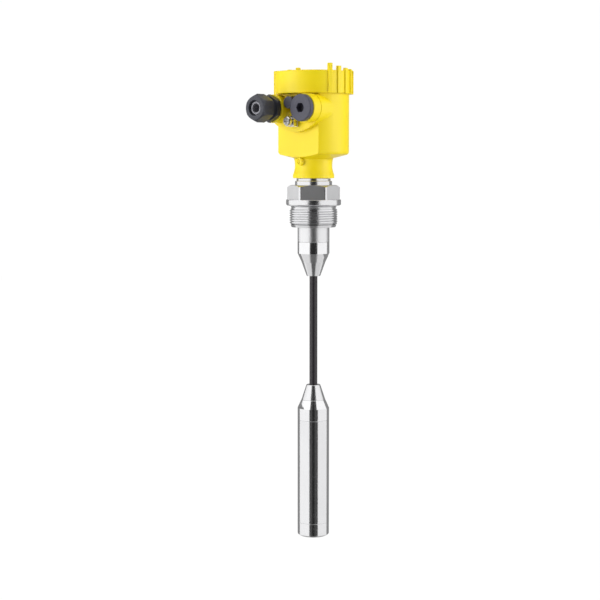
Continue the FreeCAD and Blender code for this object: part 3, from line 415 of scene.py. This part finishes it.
def fittingMesh():
    s = fitting
    low, high = s["threadLow"], s["threadHigh"]
    end = s["threadCrest"] - s["leadIn"] * s["leadSlope"]
    coneTop = low + s["leadRing"]
    gapTop = coneTop + s["leadGap"]
    seal, sealLow, sealHigh = s["sealGroove"]
    clip, clipLow, clipHigh = s["clipGroove"]
    bm = turned([
        (s["socket"], s["stubLow"]), (s["stub"], s["stubLow"], 0.4), (s["stub"], low, 0.3), (end, low, 0.2),
        (end + s["leadRing"] * s["leadSlope"], coneTop, 0.1), (s["gapRadius"], coneTop),
        (s["gapRadius"], gapTop), (end + (gapTop - low) * s["leadSlope"] - 0.1, gapTop),
        (s["core"], gapTop + 0.3), (s["core"], high), (s["core"], 0, s["collarRoot"]),
        (s["collarFoot"], 0, 0.2), (s["collar"], s["collarChamfer"], 0.2), (s["collar"], s["hexLow"], 0.5),
        (s["ring"], s["hexLow"]), (s["ring"], s["ringTop"], 0.5), (s["upperRing"], s["ringTop"], 0.3),
        (s["upperRing"], s["upperRingTop"], 0.3), (s["spigot"], s["upperRingTop"]),
        (s["spigot"], sealLow), (seal, sealLow), (seal, sealHigh), (s["spigot"], sealHigh),
        (s["spigot"], clipLow), (clip, clipLow), (clip, clipHigh), (s["spigot"], clipHigh),
        (s["spigot"], s["spigotTop"], 0.4), (s["bore"], s["spigotTop"]), (s["bore"], s["socketTop"]),
        (s["socket"], s["socketTop"])], 112)
    helix(bm, s["threadRoot"], s["threadCrest"], s["threadPitch"], gapTop, high - 0.05,
          s["rootShare"], s["crestShare"])
    for vert in bm.verts:  # lead-in and run-out cones trim the crests
        r = math.hypot(vert.co.x, vert.co.y)
        if gapTop - 0.01 < vert.co.z < high + 0.01 and r > s["core"] + 0.05:
            leadCone = end + (vert.co.z - low) * s["leadSlope"]
            runOutCone = s["threadCrest"] - max(0, s["runOut"] - high + vert.co.z)
            most = min(leadCone, runOutCone)
            if r > most:
                vert.co.xy *= (most if most > s["core"] + 0.1 else most - 0.15) / r
    half = s["hexAcross"] / 2
    fall = math.tan(math.radians(30))  # chamfer on the hexagon's top
    prism = stack(hexOutline(s["hexAcross"], s["hexTurn"], s["hexCuts"]), [
        (s["hexInside"], s["hexLow"]), (None, s["hexLow"]),
        (None, lambda r: s["hexHigh"] - max(0, r - half + 0.15) * fall),
        (half - 0.2, s["hexHigh"]), (s["hexInside"], s["hexHigh"])])
    upright = [e for e in prism.edges if abs(e.verts[0].co.z - e.verts[1].co.z) > 5]
    corners = [e for e in upright if e.calc_face_angle(0) > math.radians(40)]
    bmesh.ops.bevel(prism, geom=corners, offset=s["hexRound"], offset_type="OFFSET", segments=5, profile=0.5,
                    affect="EDGES", material=-1)
    join(bm, prism)
    return bm


finished("threadedFitting", fittingMesh(), "process_fitting", fittingSteel,
         ["threaded_fitting"])
print("fitting done")

# upper cable head, sensor and the clamp screw in each: radii and heights
upper = {"radius": 16, "bore": 4.5, "neck": 11.3, "neckTop": -28.7, "seam": -36.5, "flatHigh": -48.1,
         "coneLow": -56.6, "coneEnd": 12, "pocket": 9.2, "pocketTop": -41.9,
         "flatTurn": 18.5, "flatAway": 13.5}
upperScrew = {"bore": 4.1, "shank": 9, "inner": -50.6, "wide": 12, "tip": 6.8, "outer": -70.9}
sensor = {"radius": 16, "bore": 4.5, "neck": 14.4, "neckLow": -223.8, "seam": -216.8, "flatLow": -204.8,
          "coneTop": -196.3, "coneEnd": 12, "pocket": 9.2, "pocketLow": -211,
          "flatTurn": 61.5, "flatAway": 13.5, "tubeIn": 14.5, "tubeLow": -322.3, "ringTop": -320.3,
          "ringIn": 12.6, "lip": 11.3, "lipTop": -335.2, "front": -336.2, "frontRound": 2}
lowerScrew = {"bore": 4.1, "shank": 9, "inner": -202.3, "wide": 12, "tip": 7, "outer": -181.2}


def flatted(bm, angle, distance, low, high):
    # wrench flats: the ring of faces between two heights is cut back to two planes
    for turn in (angle, angle + 180):
        normal = Vector((math.cos(math.radians(turn)), math.sin(math.radians(turn)), 0))
        band = [f for f in bm.faces if low - 0.01 < f.calc_center_median().z < high + 0.01]
        geom = set(band)
        for f in band:
            geom.update(f.edges)
            geom.update(f.verts)
        bmesh.ops.bisect_plane(bm, geom=list(geom), plane_co=normal * distance, plane_no=normal)
        for vert in bm.verts:
            if low + 0.02 < vert.co.z < high - 0.02 and vert.co.dot(normal) > distance:
                vert.co -= normal * (vert.co.dot(normal) - distance)


def upperHead():
    s = upper
    bm = turned([
        (s["bore"], s["neckTop"]), (s["neck"], s["neckTop"], 0.3), (s["neck"], s["seam"]),
        (s["radius"], s["seam"], 0.3), (s["radius"], s["flatHigh"]), (s["radius"], s["flatHigh"] - 0.04),
        (s["coneEnd"], s["coneLow"]), (s["pocket"], s["coneLow"]), (s["pocket"], s["pocketTop"]),
        (s["bore"], s["pocketTop"])], 128)
    flatted(bm, s["flatTurn"], s["flatAway"], s["coneLow"], s["flatHigh"])
    return bm


def sensorHead():
    s = sensor
    bm = turned([
        (s["bore"], s["neckLow"]), (s["neck"], s["neckLow"]), (s["neck"], s["seam"]),
        (s["radius"], s["seam"], 0.3), (s["radius"], s["flatLow"]), (s["radius"], s["flatLow"] + 0.04),
        (s["coneEnd"], s["coneTop"], 0.3), (s["pocket"], s["coneTop"]), (s["pocket"], s["pocketLow"]),
        (s["bore"], s["pocketLow"])], 128)
    flatted(bm, s["flatTurn"], s["flatAway"], s["flatLow"], s["coneTop"])
    return bm


def clampScrew(s, shoulder, shoulderRound):
    return turned([
        (s["bore"], s["inner"]), (s["shank"], s["inner"], 0.4), (s["shank"], shoulder),
        (s["wide"], shoulder, shoulderRound), (s["tip"], s["outer"], 0.5), (s["bore"], s["outer"], 0.3)], 112)


def sensorTube():
    s = sensor
    return turned([
        (s["tubeIn"], s["tubeLow"]), (s["radius"], s["tubeLow"], 0.3), (s["radius"], s["seam"], 0.3),
        (s["tubeIn"], s["seam"])], 128)


def frontRing():
    s = sensor
    return turned([
        (s["lip"], s["front"], 0.3), (s["radius"], s["front"], s["frontRound"]),
        (s["radius"], s["tubeLow"], 0.3), (s["neck"], s["tubeLow"]), (s["neck"], s["ringTop"]),
        (s["ringIn"], s["ringTop"]), (s["ringIn"], s["lipTop"]), (s["lip"], s["lipTop"])], 128)


upperClamp = clampScrew(upperScrew, upper["coneLow"], 0.15)
lowerClamp = clampScrew(lowerScrew, sensor["coneTop"], 0.3)
for name, bm, material, node in (
        ("upperCableHead", upperHead(), headSteel, "upper_cable_head"),
        ("upperClampScrew", upperClamp, clampSteel, "upper_clamp_screw"),
        ("lowerClampScrew", lowerClamp, clampSteel, "lower_clamp_screw"),
        ("sensorHead", sensorHead(), headSteel, "sensor_head"),
        ("sensorTube", sensorTube(), steel, "sensor_tube"),
        ("sensorFrontRing", frontRing(), steel, "sensor_front_ring")):
    finished(name, bm, "process_fitting", material, [node])
print("sensor done")

# suspension cable, held straight by the sensor's weight
cable = {"diameter": 0.008, "top": -0.0689, "bottom": -0.1832, "points": 9}
line = bpy.data.curves.new("suspensionCable", "CURVE")
line.dimensions = "3D"
line.bevel_depth = cable["diameter"] / 2
line.bevel_resolution = 10
line.resolution_u = 4
run = line.splines.new("NURBS")
run.points.add(cable["points"] - 1)
for number, point in enumerate(run.points):
    share = number / (cable["points"] - 1)
    point.co = (0, 0, cable["top"] + (cable["bottom"] - cable["top"]) * share, 1)
run.order_u = 3
run.use_endpoint_u = True
line.materials.append(sheath)
cord = bpy.data.objects.new("suspensionCable", line)
scene.collection.objects.link(cord)
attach(cord, "process_fitting")
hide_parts("suspension_cable")
print("cable done")

# housing body: its solid, rounded group by group, because the block runs off tangent to the bowl
# first how much each group is rounded, then where its edges lie
housing = {"rim": 0.5, "boss": 0.7, "outline": 0.3, "flat": 0.5, "blockRoot": 0.7, "lockBoss": 0.5,
           "neckLow": 27.2, "bodyTop": 113, "rimTop": 126, "bossFace": -40, "blockFace": -29.5,
           "outlineHigh": 109.59, "bore": 4, "filterBoreZ": 101, "groundBoreZ": 82.8, "flatFace": -24,
           "flatHigh": 82, "lockFace": -22, "rootBack": -8, "rootLow": 72, "rootHigh": 108.5, "bowlIn": 23.9,
           "ribHalf": 1.4, "ribLow": 45.8, "ribHigh": 53, "ribBack": -17, "ribRound": 0.4}


def housingMesh():
    s = housing
    bm = cadCopy("housing_body")

    def lies(e, axis, place):
        return all(abs(v.co[axis] - place) < 0.06 for v in e.verts)

    def outer(e):
        return e.calc_face_angle_signed() > 0

    def onRim(e):
        return outer(e) and any(lies(e, 2, z) for z in (s["neckLow"], s["bodyTop"], s["rimTop"]))

    def onOutline(e):
        middle = (e.verts[0].co + e.verts[1].co) / 2
        bores = (s["filterBoreZ"], s["groundBoreZ"])  # these two stay sharp
        clear = all(math.hypot(middle.x, middle.z - z) > s["bore"] for z in bores)
        below = max(v.co.z for v in e.verts) < s["outlineHigh"]
        return outer(e) and lies(e, 1, s["blockFace"]) and clear and below

    def onFlat(e):
        return outer(e) and lies(e, 1, s["flatFace"]) and max(v.co.z for v in e.verts) < s["flatHigh"]

    def onRoot(e):
        front = all(s["flatFace"] - 0.1 < v.co.y < s["rootBack"] for v in e.verts)
        level = all(s["rootLow"] < v.co.z < s["rootHigh"] for v in e.verts)
        outside = all(math.hypot(v.co.x, v.co.y) > s["bowlIn"] for v in e.verts)
        return not outer(e) and front and level and outside

    roundEdges(bm, s["rim"], 3, onRim)
    roundEdges(bm, s["boss"], 3, lambda e: outer(e) and lies(e, 1, s["bossFace"]))
    roundEdges(bm, s["outline"], 2, onOutline)
    roundEdges(bm, s["flat"], 3, onFlat)
    roundEdges(bm, s["blockRoot"], 3, onRoot)
    roundEdges(bm, s["lockBoss"], 3, lambda e: outer(e) and lies(e, 1, s["lockFace"]))
    rib = bmesh.new()
    boxAt(rib, (-s["ribHalf"], s["flatFace"], s["ribLow"]), (s["ribHalf"], s["ribBack"], s["ribHigh"]), 0,
          s["ribRound"], 2)
    for vert in rib.verts:  # it runs back from the flat to the boss
        share = (s["ribHigh"] - vert.co.z) / (s["ribHigh"] - s["ribLow"])
        if vert.co.y < (s["flatFace"] + s["ribBack"]) / 2:
            vert.co.y += share * (s["lockFace"] - s["flatFace"])
    join(bm, rib)
    return bm


finished("housingBody", housingMesh(), "housing", yellow, ["housing_body"], turnedOut=False)
print("housing done")

# screw lid; each rib is its angle and how far it rises above the top
lid = {"low": 109.9, "top": 132.2, "radius": 38.4, "skirtIn": 35.9, "step": 113.4, "wallIn": 34.4,
       "roof": 127.7, "sealIn": 31.1, "sealOut": 33.7, "sealTop": 128.3, "rimIn": 32.4, "dishOut": 31.6,
       "dishDepth": 0.8, "ribWidth": 4.5, "ribIn": 36.2, "ribOut": 39.6, "ribRound": 0.6,
       "ribs": ((-26, 6.6), (-10.7, 4.2), (4.6, 2.55), (20, 1.9), (35.3, 0.95))}


def lidMesh():
    s = lid
    dish = s["top"] - s["dishDepth"]
    bm = turned([
        (0, s["roof"]), (s["sealIn"], s["roof"]), (s["sealIn"], s["sealTop"]), (s["sealOut"], s["sealTop"]),
        (s["sealOut"], s["roof"]), (s["wallIn"], s["roof"]), (s["wallIn"], s["step"]),
        (s["skirtIn"], s["step"]), (s["skirtIn"], s["low"], 0.4), (s["radius"], s["low"], 0.7),
        (s["radius"], s["top"], 1.2), (s["rimIn"], s["top"], 0.5), (s["dishOut"], dish, 0.4),
        (0, dish)], 144, closed=False)
    side = s["ribWidth"] / 2
    for angle, rise in s["ribs"]:
        for half in (0, 180):
            boxAt(bm, (s["ribIn"], -side, s["low"]), (s["ribOut"], side, s["top"] + rise), angle + half,
                  s["ribRound"], 3)
    return bm


finished("housingLid", lidMesh(), "lid", yellow, ["housing_lid"])
print("lid done")

# cable gland, drawn up the axis: near is the housing's side
gland = {"x": -20, "z": 95.3, "across": 24, "hexCuts": 14, "edge": 11.7, "nutNear": 50.5, "nutFar": 66.1,
         "nutBore": 10.8, "nutInner": 60.8, "crown": 11, "crownFall": 1.16055, "mouth": 7.1,
         "flangeNear": 40.8, "flangeFar": 46.3, "bodyNear": 29, "bodyFar": 58.3, "bodyBore": 6.2,
         "entry": 9.9, "thread": 9.8, "threadRoot": 9.85, "threadCrest": 10.5, "threadPitch": 1.5,
         "sealSeat": 50.2, "sealPocket": 8.2, "sealNear": 50.5, "sealOut": 8, "sealBore": 4.5,
         "shoulder": 60.5, "sealNeck": 6.9, "neckFar": 62.4, "lip": 6.2, "lipFar": 63.9, "lipBore": 4.4,
         "gasketNear": 40, "gasketIn": 10.1, "gasketOut": 12}


def glandNut():
    s = gland
    near, far, crown = s["nutNear"], s["nutFar"], s["crown"]
    return stack(hexOutline(s["across"], 0, s["hexCuts"]), [
        (s["nutBore"], near), (s["edge"], near), (None, lambda r: near + max(0, r - s["edge"]) * 0.6),
        (None, lambda r: far - 0.9 - (r - crown) * s["crownFall"]),
        (lambda r: crown + (r - crown) * 0.62, lambda r: far - 0.35 - (r - crown) * 0.52),
        (lambda r: crown + (r - crown) * 0.22, lambda r: far - 0.08 - (r - crown) * 0.1),
        (10.6, far), (8.1, far), (7.7, far - 0.15), (7.5, far - 0.5), (7.4, far - 2.2),
        (s["mouth"], far - 2.2), (s["mouth"], s["nutInner"]), (s["nutBore"], s["nutInner"])])


def glandBody():
    s = gland
    near, far = s["flangeNear"], s["flangeFar"]
    bm = stack(hexOutline(s["across"], 0, s["hexCuts"]), [
        (s["bodyBore"], s["bodyNear"]), (s["entry"] - 0.5, s["bodyNear"]), (s["entry"], s["bodyNear"] + 0.5),
        (s["entry"], near), (s["edge"], near), (None, lambda r: near + max(0, r - s["edge"]) * 0.5),
        (None, lambda r: far - max(0, r - s["edge"]) * 0.5), (s["edge"], far), (s["thread"], far),
        (s["thread"], s["bodyFar"]), (s["sealPocket"], s["bodyFar"]), (s["sealPocket"], s["sealSeat"]),
        (s["bodyBore"], s["sealSeat"])])
    helix(bm, s["threadRoot"], s["threadCrest"], s["threadPitch"], far, s["bodyFar"] - 0.1)
    return bm


def glandSeal():
    s = gland
    return turned([
        (s["sealBore"], s["sealNear"], 0.3), (s["sealOut"], s["sealNear"], 0.3),
        (s["sealOut"], s["shoulder"], 0.2), (s["sealNeck"], s["shoulder"]),
        (s["sealNeck"], s["neckFar"], 0.2), (s["lip"] + 0.1, s["neckFar"]), (s["lip"], s["lipFar"], 0.4),
        (s["lipBore"], s["lipFar"], 0.4), (s["lipBore"], s["shoulder"] + 1),
        (s["sealBore"], s["shoulder"])], 72)


def glandGasket():
    s = gland
    near, far = s["gasketNear"], s["flangeNear"]
    return turned([(s["gasketIn"], near), (s["gasketOut"], near, 0.2), (s["gasketOut"], far, 0.2),
                   (s["gasketIn"], far)], 72)


for name, bm, body, material, slotName, node in (
        ("glandNut", glandNut(), "gland_nut", glandPolyamide, "dark_polyamide", "gland_nut"),
        ("glandBody", glandBody(), "housing", glandPolyamide, "dark_polyamide", "gland_body"),
        ("glandSeal", glandSeal(), "gland_seal_carrier", glandRubber, "seal_rubber", "gland_seal"),
        ("glandGasket", glandGasket(), "housing", rubber, "seal_rubber", "gland_gasket")):
    bmesh.ops.transform(bm, matrix=forward(gland["x"], gland["z"]), verts=bm.verts)
    finished(name, bm, body, material, [node])
print("gland done")

# blind plug and its seal
plug = {"x": 20, "z": 95.3, "keyAcross": 8.4, "keyTurn": 30, "keyCuts": 11, "keyFloor": 38.5,
        "keyEdge": 0.35, "near": 40.3, "far": 45, "radius": 13.2, "seatOut": 12.2, "seatFar": 41.5,
        "thread": 9.8, "threadRoot": 9.75, "threadCrest": 10, "threadPitch": 1.5, "inner": 29,
        "sealIn": 10, "sealOut": 12, "sealFar": 41.3}


def plugMesh():
    s = plug
    near, far, rim = s["near"], s["far"], s["radius"]
    bm = stack(hexOutline(s["keyAcross"], s["keyTurn"], s["keyCuts"]), [
        (0.01, s["keyFloor"]), (None, s["keyFloor"] + 0.2), (None, far - s["keyEdge"]),
        (lambda r: r + s["keyEdge"], far), (rim - 1.4, far), (rim - 0.6, far - 0.25), (rim - 0.15, far - 0.7),
        (rim, far - 1.3), (rim, near + 0.3), (rim - 0.3, near), (s["seatOut"], near),
        (s["seatOut"], s["seatFar"]), (s["thread"], s["seatFar"]), (s["thread"], s["inner"] + 0.4),
        (s["thread"] - 0.4, s["inner"]), (0.01, s["inner"])], closed=False)
    bmesh.ops.remove_doubles(bm, verts=bm.verts, dist=0.02)
    helix(bm, s["threadRoot"], s["threadCrest"], s["threadPitch"], s["inner"] + 0.6, near - 0.2)
    return bm


def plugSeal():
    s = plug
    near, far = s["near"], s["sealFar"]
    return turned([(s["sealIn"], near, 0.2), (s["sealOut"], near, 0.2), (s["sealOut"], far, 0.2),
                   (s["sealIn"], far, 0.2)], 72)


for name, bm, body, material, slotName, node in (
        ("blindPlug", plugMesh(), "plug", polyamide, "dark_polyamide", "blind_plug"),
        ("plugSeal", plugSeal(), "plug_seal_carrier", rubber, "seal_rubber", "plug_seal")):
    bmesh.ops.transform(bm, matrix=forward(plug["x"], plug["z"]), verts=bm.verts)
    finished(name, bm, body, material, [node])
print("plug done")

# locking screw: flush in its boss and lacquered with the housing
lock = {"z": 43.5, "near": 14.8, "far": 21.7, "radius": 2.45, "keyAcross": 2.5, "keyCuts": 5,
        "keyDepth": 0.7, "keyEdge": 0.1, "headEdge": 0.3, "point": 0.6}


def lockMesh():
    s = lock
    near, far, radius = s["near"], s["far"], s["radius"]
    floor = far - s["keyDepth"]
    bm = stack(hexOutline(s["keyAcross"], 0, s["keyCuts"]), [
        (0.01, floor), (None, floor + 0.05), (None, far - s["keyEdge"]), (lambda r: r + s["keyEdge"], far),
        (radius - s["headEdge"], far), (radius, far - s["headEdge"]), (radius, near + s["point"]),
        (radius - s["point"], near), (0.01, near)], closed=False)
    bmesh.ops.remove_doubles(bm, verts=bm.verts, dist=0.02)
    return bm


lockScrew = lockMesh()
bmesh.ops.transform(lockScrew, matrix=forward(0, lock["z"]), verts=lockScrew.verts)
finished("lockingScrew", lockScrew, "housing", yellow, ["locking_screw"])
print("locking screw done")

# breather filter
breather = {"z": 101, "stem": 2.8, "stemEnd": 24.5, "vent": 1, "near": 29.5, "far": 40, "radius": 6,
            "slot": 5.6, "slotLow": 31, "slotHigh": 32, "crown": 1.6, "room": 4.3, "roomLow": 36.8,
            "roomHigh": 38.4}


def capMesh():
    s = breather
    return turned([
        (s["vent"], s["stemEnd"]), (s["stem"], s["stemEnd"]), (s["stem"], s["near"]),
        (s["radius"], s["near"], 0.3), (s["radius"], s["slotLow"], 0.15), (s["slot"], s["slotLow"] + 0.2),
        (s["slot"], s["slotHigh"] - 0.2), (s["radius"], s["slotHigh"], 0.15),
        (s["radius"], s["far"], s["crown"]), (0, s["far"]), (0, s["roomHigh"]), (s["room"], s["roomHigh"]),
        (s["room"], s["roomLow"]), (s["vent"], s["roomLow"])], 72)


cap = capMesh()
bmesh.ops.transform(cap, matrix=forward(0, breather["z"]), verts=cap.verts)
finished("filterCap", cap, "housing", polyamide, ["filter_cap"])
print("filter done")

# pieces that keep their solid's form, with rounded edges: node, body, finish, slot, edge
kept = (
    ("ground_terminal_base", "housing", plated, "plated_steel", 0.3),
    ("ground_clamp", "ground_clamp", plated, "plated_steel", 0.35),
    ("ground_screw", "ground_screw", plated, "plated_steel", 0.2),
    ("electronics_cup", "housing", insertPlastic, "insert_plastic", 0.25),
    ("electronics_cover", "housing", insertPlastic, "insert_plastic", 0.4),
    ("case_screw_1", "housing", plated, "plated_steel", 0.15),
    ("case_screw_2", "housing", plated, "plated_steel", 0.15),
    ("terminal_block", "housing", insertPlastic, "insert_plastic", 0.25),
    ("terminal_lever_1", "lever_1", leverPlastic, "lever_plastic", 0.3),
    ("terminal_lever_2", "lever_2", leverPlastic, "lever_plastic", 0.3),
    ("contact_strip", "housing", contactPlastic, "contact_plastic", 0.2),
    ("circuit_board", "housing", laminate, "board_laminate", 0.1),
    ("lid_seal", "lid_lift_carrier", rubber, "seal_rubber", 0.3),
    ("measuring_cell", "process_fitting", ceramic, "cell_ceramic", 0.2),
)
for node, body, material, slotName, edge in kept:
    finished("dressed_" + node, cadCopy(node, edge), body, material, [node], turnedOut=False)
print("small pieces done", len(kept))

# solids that stay as they are, hidden inside
inside = {
    "neck_seal": rubber, "upper_cable_seal": rubber, "lower_cable_seal": rubber, "cell_seal": rubber,
    "retaining_ring": plated, "cell_clamp_ring": steel, "upper_thrust_ring": ringPlastic,
    "lower_thrust_ring": ringPlastic, "filter_membrane": ringPlastic, "sensor_board": laminate,
}
for node, material in inside.items():
    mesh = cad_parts[node].data
    mesh.materials.clear()
    mesh.materials.append(material)
print("inner solids finished", len(inside))

# pale floor, evenly lit
stage = {"floor": -1.2, "radius": 14.0, "glow": 1.0}
floorMesh = bmesh.new()
bmesh.ops.create_circle(floorMesh, cap_ends=True, segments=96, radius=stage["radius"])
bmesh.ops.translate(floorMesh, vec=(0, 0, stage["floor"]), verts=floorMesh.verts)
floorData = bpy.data.meshes.new("floor")
floorMesh.to_mesh(floorData)
floorMesh.free()
floorFinish, floorSurface, floorPlace = startFinish("pale floor", Roughness=0.9, Emission_Color=(1, 1, 1, 1),
                                                    Emission_Strength=stage["glow"])
feed(floorSurface, Base_Color=floorPlace.noise(1.5, 2).blend((0.015, 0.015, 0.015, 1), (0.02, 0.02, 0.02, 1)))
floorData.materials.append(floorFinish)
floor = bpy.data.objects.new("floor", floorData)
scene.collection.objects.link(floor)
floor.visible_diffuse = False

# studio: camera, soft lights for the plastic, bent panels that the steel mirrors
# angles run from the camera's side, lengths are in metres
studio = {"azimuth": 40, "distance": 1.4, "eye": 0.04, "pitch": 5.52, "aside": 0.01357, "lens": 83.66,
          "panelAt": 1.9, "ceiling": 1.9, "panelLow": -1.15, "aim": 0.05, "sky": 0.3, "white": 1.01}
world = bpy.data.worlds.new("studio")
scene.world = world
world.use_nodes = True
sky = world.node_tree
toWorld = sky.nodes["Background"]
toWorld.inputs["Color"].default_value = (1, 1, 1, 1)
pathNode = sky.nodes.new("ShaderNodeLightPath")
seen = Sock(sky, pathNode.outputs["Is Camera Ray"])
strength = seen * (studio["white"] - studio["sky"]) + studio["sky"]
sky.links.new(strength.socket, toWorld.inputs["Strength"])


def spot(angle, distance, height):
    a = math.radians(studio["azimuth"] + angle)
    return Vector((math.sin(a) * distance, -math.cos(a) * distance, height))


def softBox(name, angle, distance, height, wide, tall, bright):
    data = bpy.data.lights.new(name, "AREA")
    data.shape = "RECTANGLE"
    data.size = wide
    data.size_y = tall
    data.energy = bright * math.pi * wide * tall
    lamp = bpy.data.objects.new(name, data)
    scene.collection.objects.link(lamp)
    lamp.location = spot(angle, distance, height)
    lamp.rotation_mode = "QUATERNION"
    lamp.rotation_quaternion = (Vector((0, 0, studio["aim"])) - lamp.location).to_track_quat("-Z", "Y")
    lamp.visible_camera = False
    lamp.visible_glossy = False  # the panels give the reflections


def panel(name, start, end, low, high, glow, near=None, far=None):
    # upright from low to high, or lying flat from near to far
    bm = bmesh.new()
    ends = [bm.verts.new(spot(start, near or studio["panelAt"], low)),
            bm.verts.new(spot(start, far or studio["panelAt"], high))]
    edge = bm.edges.new(ends)
    bmesh.ops.spin(bm, geom=ends + [edge], cent=(0, 0, 0), axis=(0, 0, 1), angle=math.radians(end - start),
                   steps=max(2, round((end - start) / 3)), use_merge=False, use_duplicate=False)
    data = bpy.data.meshes.new(name)
    bm.to_mesh(data)
    bm.free()
    finish, surface, place = startFinish(name, Base_Color=(0, 0, 0, 1), Roughness=1.0, Emission_Strength=glow)
    feed(surface, Emission_Color=place.noise(2, 2).blend((1, 1, 1, 1), (0.97, 0.97, 0.97, 1)))
    data.materials.append(finish)
    piece = bpy.data.objects.new(name, data)
    scene.collection.objects.link(piece)
    piece.visible_camera = False
    piece.visible_shadow = False
    piece.visible_diffuse = False


# soft lights: angle, distance, height, width, height of the box, brightness
for name, *light in (
        ("left light", -71, 1.9, 0.05, 1.5, 2.2, 4.5), ("right light", 76, 1.9, 0.1, 1.5, 2.2, 4.1),
        ("top light", 0, 0.5, 2.4, 1.6, 1.6, 2.2), ("rear light", 180, 1.9, 0.3, 1.5, 2.2, 1.8),
        ("floor light", 0, 0.5, -1.1, 1.6, 1.6, 0.4)):
    softBox(name, *light)

# flat panels: start, end, height, glow, near, far
onFloor = stage["floor"] + 0.02
for name, start, end, height, glow, near, far in (
        ("floor shade", -26, 26, onFloor, 0.11, 0.9, 1.88),
        ("floor left", -172, -26, onFloor, 0.83, 0.9, 1.88),
        ("floor right", 26, 172, onFloor, 0.77, 0.9, 1.88),
        ("floor near", -40, 40, onFloor, 0.14, 0.01, 0.9),
        ("floor near left", -171, -40, onFloor, 0.46, 0.01, 0.9),
        ("floor near right", 40, 171, onFloor, 0.46, 0.01, 0.9),
        ("floor back", 171, 189, onFloor, 0.04, 0.01, 1.88),
        ("ceiling", -171, 171, studio["ceiling"], 1.15, 0.02, 1.88),
        ("ceiling back", 171, 189, studio["ceiling"], 0.04, 0.02, 1.88)):
    panel(name, start, end, height, height, glow, near, far)

# upright bands from the floor up: low, high, where the dark middle ends left and right, its shade's glow,
# where the left bright part ends, its glow
bands = ((studio["panelLow"], -0.4, 29.5, 33, 0.066, 118, 1.1), (-0.4, -0.1, 28, 28, 0.018, 128, 1.21),
         (-0.1, 0.35, 21, 21, 0.045, 126, 1.12), (0.35, studio["ceiling"], 28, 28, 0.066, 118, 1.26))
mirrored = {"core": 9, "coreGlow": 0.011, "rightShare": 0.91, "rightEnd": 114, "flagEnd": 172,
            "flagGlow": 0.27}
panel("dark middle", -mirrored["core"], mirrored["core"], studio["panelLow"], studio["ceiling"],
      mirrored["coreGlow"])
for number, (low, high, leftDark, rightDark, shade, leftEnd, glow) in enumerate(bands):
    for side, dark, reach, share in (("left", leftDark, leftEnd, 1),
                                     ("right", rightDark, mirrored["rightEnd"], mirrored["rightShare"])):
        for part, near, far, tone in (("shade", mirrored["core"], dark, shade),
                                      ("bright", dark, reach, glow * share),
                                      ("flag", reach, mirrored["flagEnd"], mirrored["flagGlow"])):
            start, end = (near, far) if side == "right" else (-far, -near)
            panel(side + " " + part + " " + str(number), start, end, low, high, tone)

cameraData = bpy.data.cameras.new("camera")
cameraData.lens = studio["lens"]
cameraData.sensor_width = 36
camera = bpy.data.objects.new("camera", cameraData)
scene.collection.objects.link(camera)
a = math.radians(studio["azimuth"])
camera.location = (math.sin(a) * studio["distance"] - math.cos(a) * studio["aside"],
                   -math.cos(a) * studio["distance"] - math.sin(a) * studio["aside"], studio["eye"])
camera.rotation_euler = (math.radians(90 - studio["pitch"]), 0, a)
scene.camera = camera
print("studio set")
